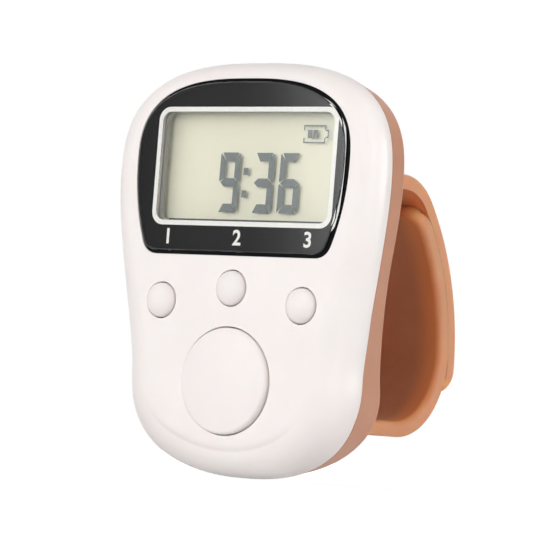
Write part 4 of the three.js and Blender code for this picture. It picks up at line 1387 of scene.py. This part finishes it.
def plated_metal(tree, base, shade, roughness, marks):
    """Plated or turned metal: a bright skin with fine tool marks that break up its shine."""
    place = node(tree, "ShaderNodeTexCoord").outputs["Object"]
    fine = node(tree, "ShaderNodeTexNoise", {"Vector": place, "Scale": per(marks), "Detail": 4.0})
    rough = node(tree, "ShaderNodeMapRange", {
        "Value": fine.outputs["Fac"], "From Min": 0.3, "From Max": 0.7,
        "To Min": roughness - 0.05, "To Max": roughness + 0.08,
    })
    bump = node(tree, "ShaderNodeBump", {
        "Height": fine.outputs["Fac"], "Strength": 1.0, "Distance": 0.002 * MM,
    })
    return node(tree, "ShaderNodeBsdfPrincipled", {
        "Base Color": two_tones(tree, fine.outputs["Fac"], base, shade), "Metallic": 1.0,
        "Roughness": rough.outputs["Result"], "Normal": bump.outputs["Normal"],
    })


# Each plastic's two tones, roughness, and the size and height of its grain
WHITE_ABS = material("moulded white ABS", moulded_plastic, "f6f0ed", "f3ebe8", 0.36, 0.3, 0.0012, 0.12)
KEY_ABS = material("polished white ABS", moulded_plastic, "f6f0ed", "f3ebe8", 0.33, 0.3, 0.0008, 0.12)
TAN_ABS = material("moulded tan ABS", moulded_plastic, "c88f72", "c28a6d", 0.46, 0.25, 0.004, specular=0.3)
SILICONE = material("moulded silicone rubber", moulded_silicone)
ACRYLIC = material("polished clear acrylic", clear_acrylic)
BLACK_INK = material("black screen print", screen_print, "0b0b0c", "121213", 0.5)
WHITE_INK = material("white screen print", screen_print, "f6f5f2", "ecebe7", 0.6)
FILM = material("rear polariser film", display_film)
GLASS = material("anti-glare display glass", display_glass)
CRYSTAL = material("liquid crystal segments", liquid_crystal)
STEEL = material("nickel-plated steel", plated_metal, "c9cacc", "b4b5b8", 0.28, 0.3)
BRASS = material("plated spring brass", plated_metal, "c8ab68", "b59655", 0.3, 0.3)
# The display holder is greyed below its own white, so that the window's side wall reads dark: painted
# shade.
HOLDER_SHADE_GREY = material("moulded grey ABS", moulded_plastic, "a3a39f", "989894", 0.5, 0.3, 0.003)
BOARD = material("green solder resist", moulded_plastic, "1d6a39", "175a2f", 0.35, 0.4, 0.002)
RUBBER = material("conductive rubber", moulded_plastic, "35353a", "2a2a2e", 0.7, 0.2, 0.004)
# Black for the fill in the lens's gap: partly the lens's dark edge, partly painted shade in the gap.
GAP_BLACK = material("black cell foam", moulded_plastic, "101011", "161617", 0.9, 0.2, 0.01, specular=0.1)
BLACK_PLASTIC = material("moulded black nylon", moulded_plastic, "1f1f21", "29292c", 0.5, 0.25, 0.004)
CERAMIC = material("fired ceramic", moulded_plastic, "c9b38a", "bca47a", 0.45, 0.2, 0.003)
GUIDE = material("frosted light guide", moulded_plastic, "e3e6dc", "d9dcd1", 0.4, 0.3, 0.003)


def screw_head():
    """A domed head with a cross recess that faces back, the middle of its crown at the origin."""
    crown = -y_at(0.0)
    profile = [(0, crown - CASE_HEAD_HEIGHT), (CASE_HEAD_RADIUS, crown - CASE_HEAD_HEIGHT)]
    for share in np.linspace(1, 0, HEAD_RINGS):
        profile.append((CASE_HEAD_RADIUS * share, crown - CASE_HEAD_DOME * share * share))
    head = make("screw_head", turned((0, 0), profile))
    wide, long = RECESS_WIDTH / 2, RECESS_LENGTH / 2
    blades = (rectangle(-wide, wide, -long, long), rectangle(-long, long, -wide, wide))
    cutters = [flat_plate(blade, crown - RECESS_DEPTH, crown + RECESS_OUT) for blade in blades]
    return combine(head, cutters, "DIFFERENCE")


def screw_tree():
    """Puts a screw on each point of a mesh, its head facing back and its shank as long as the point's
    own length."""
    tree = bpy.data.node_groups.new("cross recess screws", "GeometryNodeTree")
    for name, way, kind in (
        ("Places", "INPUT", "Geometry"), ("Head", "INPUT", "Object"),
        ("Shank radius", "INPUT", "Float"), ("Shank start", "INPUT", "Float"),
        ("Finish", "INPUT", "Material"), ("Screws", "OUTPUT", "Geometry"),
    ):
        tree.interface.new_socket(name=name, in_out=way, socket_type=f"NodeSocket{kind}")
    given = node(tree, "NodeGroupInput").outputs
    head = node(tree, "GeometryNodeObjectInfo", {"Object": given["Head"]})
    heads = node(tree, "GeometryNodeInstanceOnPoints", {
        "Points": given["Places"], "Instance": head.outputs["Geometry"],
    })
    shank = node(tree, "GeometryNodeMeshCylinder", {
        "Vertices": SHANK_SIDES, "Radius": given["Shank radius"], "Depth": 1.0,
    })
    hung = node(tree, "GeometryNodeTransform", {
        "Geometry": shank.outputs["Mesh"], "Translation": (0, 0, -0.5),
    })
    length = node(tree, "GeometryNodeInputNamedAttribute", {"Name": "shank_length"}, data_type="FLOAT")
    stretch = node(tree, "ShaderNodeCombineXYZ", {"X": 1.0, "Y": 1.0, "Z": length.outputs["Attribute"]})
    shanks = node(tree, "GeometryNodeInstanceOnPoints", {
        "Points": given["Places"], "Instance": hung.outputs["Geometry"], "Scale": stretch.outputs[0],
        "Rotation": (-math.pi / 2, 0, 0),
    })
    start = node(tree, "ShaderNodeCombineXYZ", {"Y": given["Shank start"]})
    shanks = node(tree, "GeometryNodeTranslateInstances", {
        "Instances": shanks.outputs[0], "Translation": start.outputs[0], "Local Space": False,
    })
    both = node(tree, "GeometryNodeJoinGeometry", {"Geometry": heads.outputs[0]})
    tree.links.new(shanks.outputs[0], both.inputs["Geometry"])
    real = node(tree, "GeometryNodeRealizeInstances", {"Geometry": both.outputs[0]})
    done = node(tree, "GeometryNodeSetMaterial", {
        "Geometry": real.outputs[0], "Material": given["Finish"],
    })
    node(tree, "NodeGroupOutput", {"Screws": done.outputs[0]})
    return tree


def build_case_screws():
    """The four screws that hold the cover, all on the case."""
    places, lengths = [], []
    start = CASE_HEAD_HEIGHT - SHANK_BITE
    for (x, z), head_back in zip(CASE_SCREWS, CASE_HEAD_BACKS):
        places += [(side * x * MM, y_at(head_back) * MM, z * MM) for side in (-1, 1)]
        lengths += [(head_back - start - SCREW_TIP_DEPTH) * MM] * 2
    mesh = mesh_of("case_screws", places, [])
    mesh.attributes.new("shank_length", "FLOAT", "POINT").data.foreach_set("value", lengths)
    piece = added("case_screws", mesh)
    head = screw_head()
    given = {
        "Head": head, "Shank radius": SCREW_RADIUS * MM, "Shank start": -start * MM, "Finish": STEEL,
    }
    step = piece.modifiers.new("screws", "NODES")
    step.node_group = screw_tree()
    for item in step.node_group.interface.items_tree:
        if item.name in given:
            step[item.identifier] = given[item.name]
    settle(piece)
    bpy.data.objects.remove(head)
    return smooth(piece, 35, weighted=False)


def coat(piece, finish):
    piece.data.materials.clear()
    piece.data.materials.append(finish)


def dress(piece, finish, body, nodes=()):
    """Gives a piece its material and body, and hides the solids that it stands for."""
    coat(piece, finish)
    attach(piece, body)
    if nodes:
        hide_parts(*nodes)


dress(build_shell(), WHITE_ABS, "case", ["front_shell"])
dress(build_cover(), TAN_ABS, "case", ["back_cover"])
for key, place in KEY_PLACES.items():
    large = key == "count"
    profile, sides = (count_key_profile, COUNT_SIDES) if large else (small_key_profile, SMALL_KEY_SIDES)
    cap = smooth(make(f"{key}_cap", turned(place, profile(), sides)))
    dress(cap, KEY_ABS, f"{key}_key", [f"{key}_button"])
dress(build_lens(), ACRYLIC, "case", ["display_lens"])
lens_print, frame_line = build_print()
dress(lens_print, BLACK_INK, "case")
dress(frame_line, WHITE_INK, "case")
dress(build_gap_fill(), GAP_BLACK, "case")
numbers = [number_mesh(str(i + 1), KEY_PLACES[key][0]) for i, key in enumerate(NUMBERED_KEYS)]
dress(joined_meshes("key_numbers", numbers), WHITE_INK, "case")
cell = smooth(make("display_cell", layer_plate(GLASS_MARGIN, CELL_FRONT, CELL_BACK)))
dress(cell, GLASS, "case", ["top_polariser", "display_top_glass", "display_low_glass"])
sheet = layer_plate(REFLECTOR_MARGIN, REFLECTOR_DEPTH, CELL_BACK - REFLECTOR_BACK_GAP)
dress(smooth(make("display_reflector", sheet)), FILM, "case", ["low_polariser"])
segment_back = SEGMENT_DEPTH + SEGMENT_THICKNESS
marks = merged([flat_plate(outline, SEGMENT_DEPTH, segment_back) for outline in display_marks()])
dress(make("display_segments", marks), CRYSTAL, "case")
for piece, level in zip(build_straps(), ("upper", "lower")):
    dress(piece, SILICONE, f"{level}_band", [f"{level}_strap"])
for level, pin in (("upper", UPPER_PIN), ("lower", LOWER_PIN)):
    piece = smooth(make(f"{level}_pin", cross_bar(pin, pin_profile(), PIN_SIDES)))
    dress(piece, STEEL, "case", [f"{level}_strap_pin"])
screws = [f"{level}_{side}_screw" for level in ("upper", "lower") for side in ("left", "right")]
dress(build_case_screws(), STEEL, "case", screws)

# The solids that stay as they are take a finish too. The rest of them are steel
NODE_FINISHES = {
    BLACK_PLASTIC: ("lens_adhesive", "controller_chip", *(f"{key}_switch" for key in KEY_PLACES)),
    HOLDER_SHADE_GREY: ("display_holder",),
    GUIDE: ("light_guide",),
    FILM: ("reflector",),
    RUBBER: ("zebra_strip",),
    CERAMIC: ("left_backlight", "right_backlight", "capacitor_1", "capacitor_2"),
    BOARD: ("circuit_board",),
    BRASS: ("negative_contact", "positive_contact"),
}
for name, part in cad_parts.items():
    coat(part, next((finish for finish, names in NODE_FINISHES.items() if name in names), STEEL))


# Camera at the photograph's viewing angle
CAMERA_AZIMUTH = 36.18
CAMERA_ELEVATION = -3.35
CAMERA_ROLL = 4.5
CAMERA_DISTANCE = 325.4
CAMERA_TARGET = (3.83, -6.0, -5.91)
PIXEL_FOCAL = 3200
PHOTO_SIDE = 533

# Lamps: azimuth, elevation, distance, size, power, and whether mirrors show them
LAMP_TARGET = (0, 2, -6)
LAMPS = {
    "key": (-10, 12, 600, 640, 1.86, False),
    "fill": (10, 3, 600, 300, 1.76, False),
    "top": (10, 60, 600, 500, 0.6, False),
    "rim": (110, 6, 600, 420, 2.95, True),
}
WORLD_LIGHT = 0.12

# Cards that mirrors show: azimuth, elevation, distance, width, height, lean, and the places across
# each with the brightness there
CARDS = {
    "lens_card": (-36.2, 3.3, 250, 70, 70, -8, [
        (0.0, 0.5), (0.25, 0.53), (0.37, 0.66), (0.5, 0.74), (0.57, 1.0), (0.62, 1.45), (0.68, 2.2),
        (0.72, 2.75), (0.76, 4.0), (1.0, 6.0),
    ]),
    "edge_strip": (54, 2, 400, 110, 320, 0, [(0.0, 3.0), (1.0, 3.4)]),
    "side_flag": (146, 4, 400, 420, 420, 0, [(0.0, 0.12), (1.0, 0.25)]),
}

# Floor
FLOOR_HALF = 1500
FLOOR_GAP = 0.1
FLOOR_THICKNESS = 1.0


def direction(azimuth, elevation):
    """The way to look at the counter from, and the level line to its right."""
    a, e = math.radians(azimuth), math.radians(elevation)
    away = Vector((math.sin(a) * math.cos(e), -math.cos(a) * math.cos(e), math.sin(e)))
    return away, Vector((math.cos(a), math.sin(a), 0))


def rolled(level, upright, roll):
    """Two directions turned in their own plane."""
    r = math.radians(roll)
    return level * math.cos(r) + upright * math.sin(r), upright * math.cos(r) - level * math.sin(r)


def place_camera():
    data = bpy.data.cameras.new("camera")
    data.sensor_width = 36
    data.lens = PIXEL_FOCAL / PHOTO_SIDE * data.sensor_width
    data.clip_start, data.clip_end = 0.01, 10
    back, right = direction(CAMERA_AZIMUTH, CAMERA_ELEVATION)
    turn = Matrix((*rolled(right, back.cross(right), CAMERA_ROLL), back)).transposed()
    camera = added("camera", data)
    spot = (Vector(CAMERA_TARGET) + back * CAMERA_DISTANCE) * MM
    camera.matrix_world = Matrix.Translation(spot) @ turn.to_4x4()
    bpy.context.scene.camera = camera


def area_lamp(name, azimuth, elevation, distance, size, power, mirrored_too):
    """A soft lamp that looks at the middle of the counter from a direction."""
    data = bpy.data.lights.new(name, "AREA")
    data.shape = "DISK"
    data.size = size * MM
    data.energy = power
    lamp = added(name, data)
    away = direction(azimuth, elevation)[0]
    lamp.location = (Vector(LAMP_TARGET) + away * distance) * MM
    lamp.rotation_mode = "QUATERNION"
    lamp.rotation_quaternion = away.to_track_quat("Z", "Y")
    lamp.visible_glossy = lamp.visible_transmission = mirrored_too


def white_for_view(tree, share=1.0):
    """How much of a surface is flat white: a share for rays from the camera, mirrors and glass."""
    seen = {0: rays(tree, "Camera", "Glossy", "Transmission"), 1: share}
    return node(tree, "ShaderNodeMath", seen, operation="MULTIPLY").outputs[0]


def light_the_world():
    world = bpy.data.worlds.new("studio")
    world.use_nodes = True
    tree = world.node_tree
    tree.nodes.clear()
    plain, white = (
        node(tree, "ShaderNodeBackground", {"Color": ink("ffffff"), "Strength": strength}).outputs[0]
        for strength in (WORLD_LIGHT, 1.0)
    )
    mixed = node(tree, "ShaderNodeMixShader", {0: white_for_view(tree), 1: plain, 2: white})
    node(tree, "ShaderNodeOutputWorld", {"Surface": mixed.outputs[0]})
    bpy.context.scene.world = world


def card_glow(tree):
    """White light, as bright as each point of the card says."""
    bright = node(tree, "ShaderNodeAttribute", attribute_name="brightness")
    return node(tree, "ShaderNodeEmission", {"Color": ink("ffffff"), "Strength": bright.outputs["Fac"]})


def reflected_card(name, azimuth, elevation, distance, width, height, lean, levels):
    """A card that only mirrors see, as a photographer's flag or bounce: places across it and the
    brightness at each."""
    away, level = direction(azimuth, elevation)
    across, up = rolled(level, level.cross(away), lean)
    corner = Vector(LENS_MIDDLE) + away * distance - across * width / 2 - up * height / 2
    points = [
        (corner + across * width * share + up * height * end) * MM
        for share, _ in levels for end in (0, 1)
    ]
    faces = [(2 * k, 2 * k + 2, 2 * k + 3, 2 * k + 1) for k in range(len(levels) - 1)]
    mesh = mesh_of(name, points, faces)
    values = [value for _, value in levels for end in (0, 1)]
    mesh.attributes.new("brightness", "FLOAT", "POINT").data.foreach_set("value", values)
    piece = added(name, mesh)
    mesh.materials.append(material(name, card_glow))
    piece.visible_camera = piece.visible_diffuse = False
    piece.visible_transmission = piece.visible_shadow = False


def white_table(tree):
    """A wide white table that the camera sees as plain white, with a faint shadow near the counter."""
    place = node(tree, "ShaderNodeTexCoord").outputs["Object"]
    fine = node(tree, "ShaderNodeTexNoise", {"Vector": place, "Scale": per(4), "Detail": 2.0})
    colour = two_tones(tree, fine.outputs["Fac"], "dcdcdc", "e0e0e0")
    plain = node(tree, "ShaderNodeBsdfDiffuse", {"Color": colour})
    white = node(tree, "ShaderNodeEmission", {"Color": ink("ffffff"), "Strength": 1.3})
    away = node(tree, "ShaderNodeVectorMath", {0: place}, operation="LENGTH")
    share = node(tree, "ShaderNodeMapRange", {
        "Value": away.outputs["Value"], "From Min": 60 * MM, "From Max": 200 * MM,
        "To Min": 0.72, "To Max": 1.0,
    })
    return node(tree, "ShaderNodeMixShader", {
        0: white_for_view(tree, share.outputs["Result"]), 1: plain.outputs[0], 2: white.outputs[0],
    })


def lay_floor():
    top, half = CASE_BOTTOM - FLOOR_GAP, FLOOR_HALF
    corners = ((-half, -half), (half, -half), (half, half), (-half, half))
    faces = [np.array([(x, y, z) for x, y in corners]) for z in (top - FLOOR_THICKNESS, top)]
    floor = make("floor", loft(faces))
    floor.data.materials.append(material("white table", white_table))


place_camera()
light_the_world()
for name, values in LAMPS.items():
    area_lamp(name, *values)
for name, values in CARDS.items():
    reflected_card(name, *values)
lay_floor()
bpy.context.scene.view_settings.view_transform = "Standard"
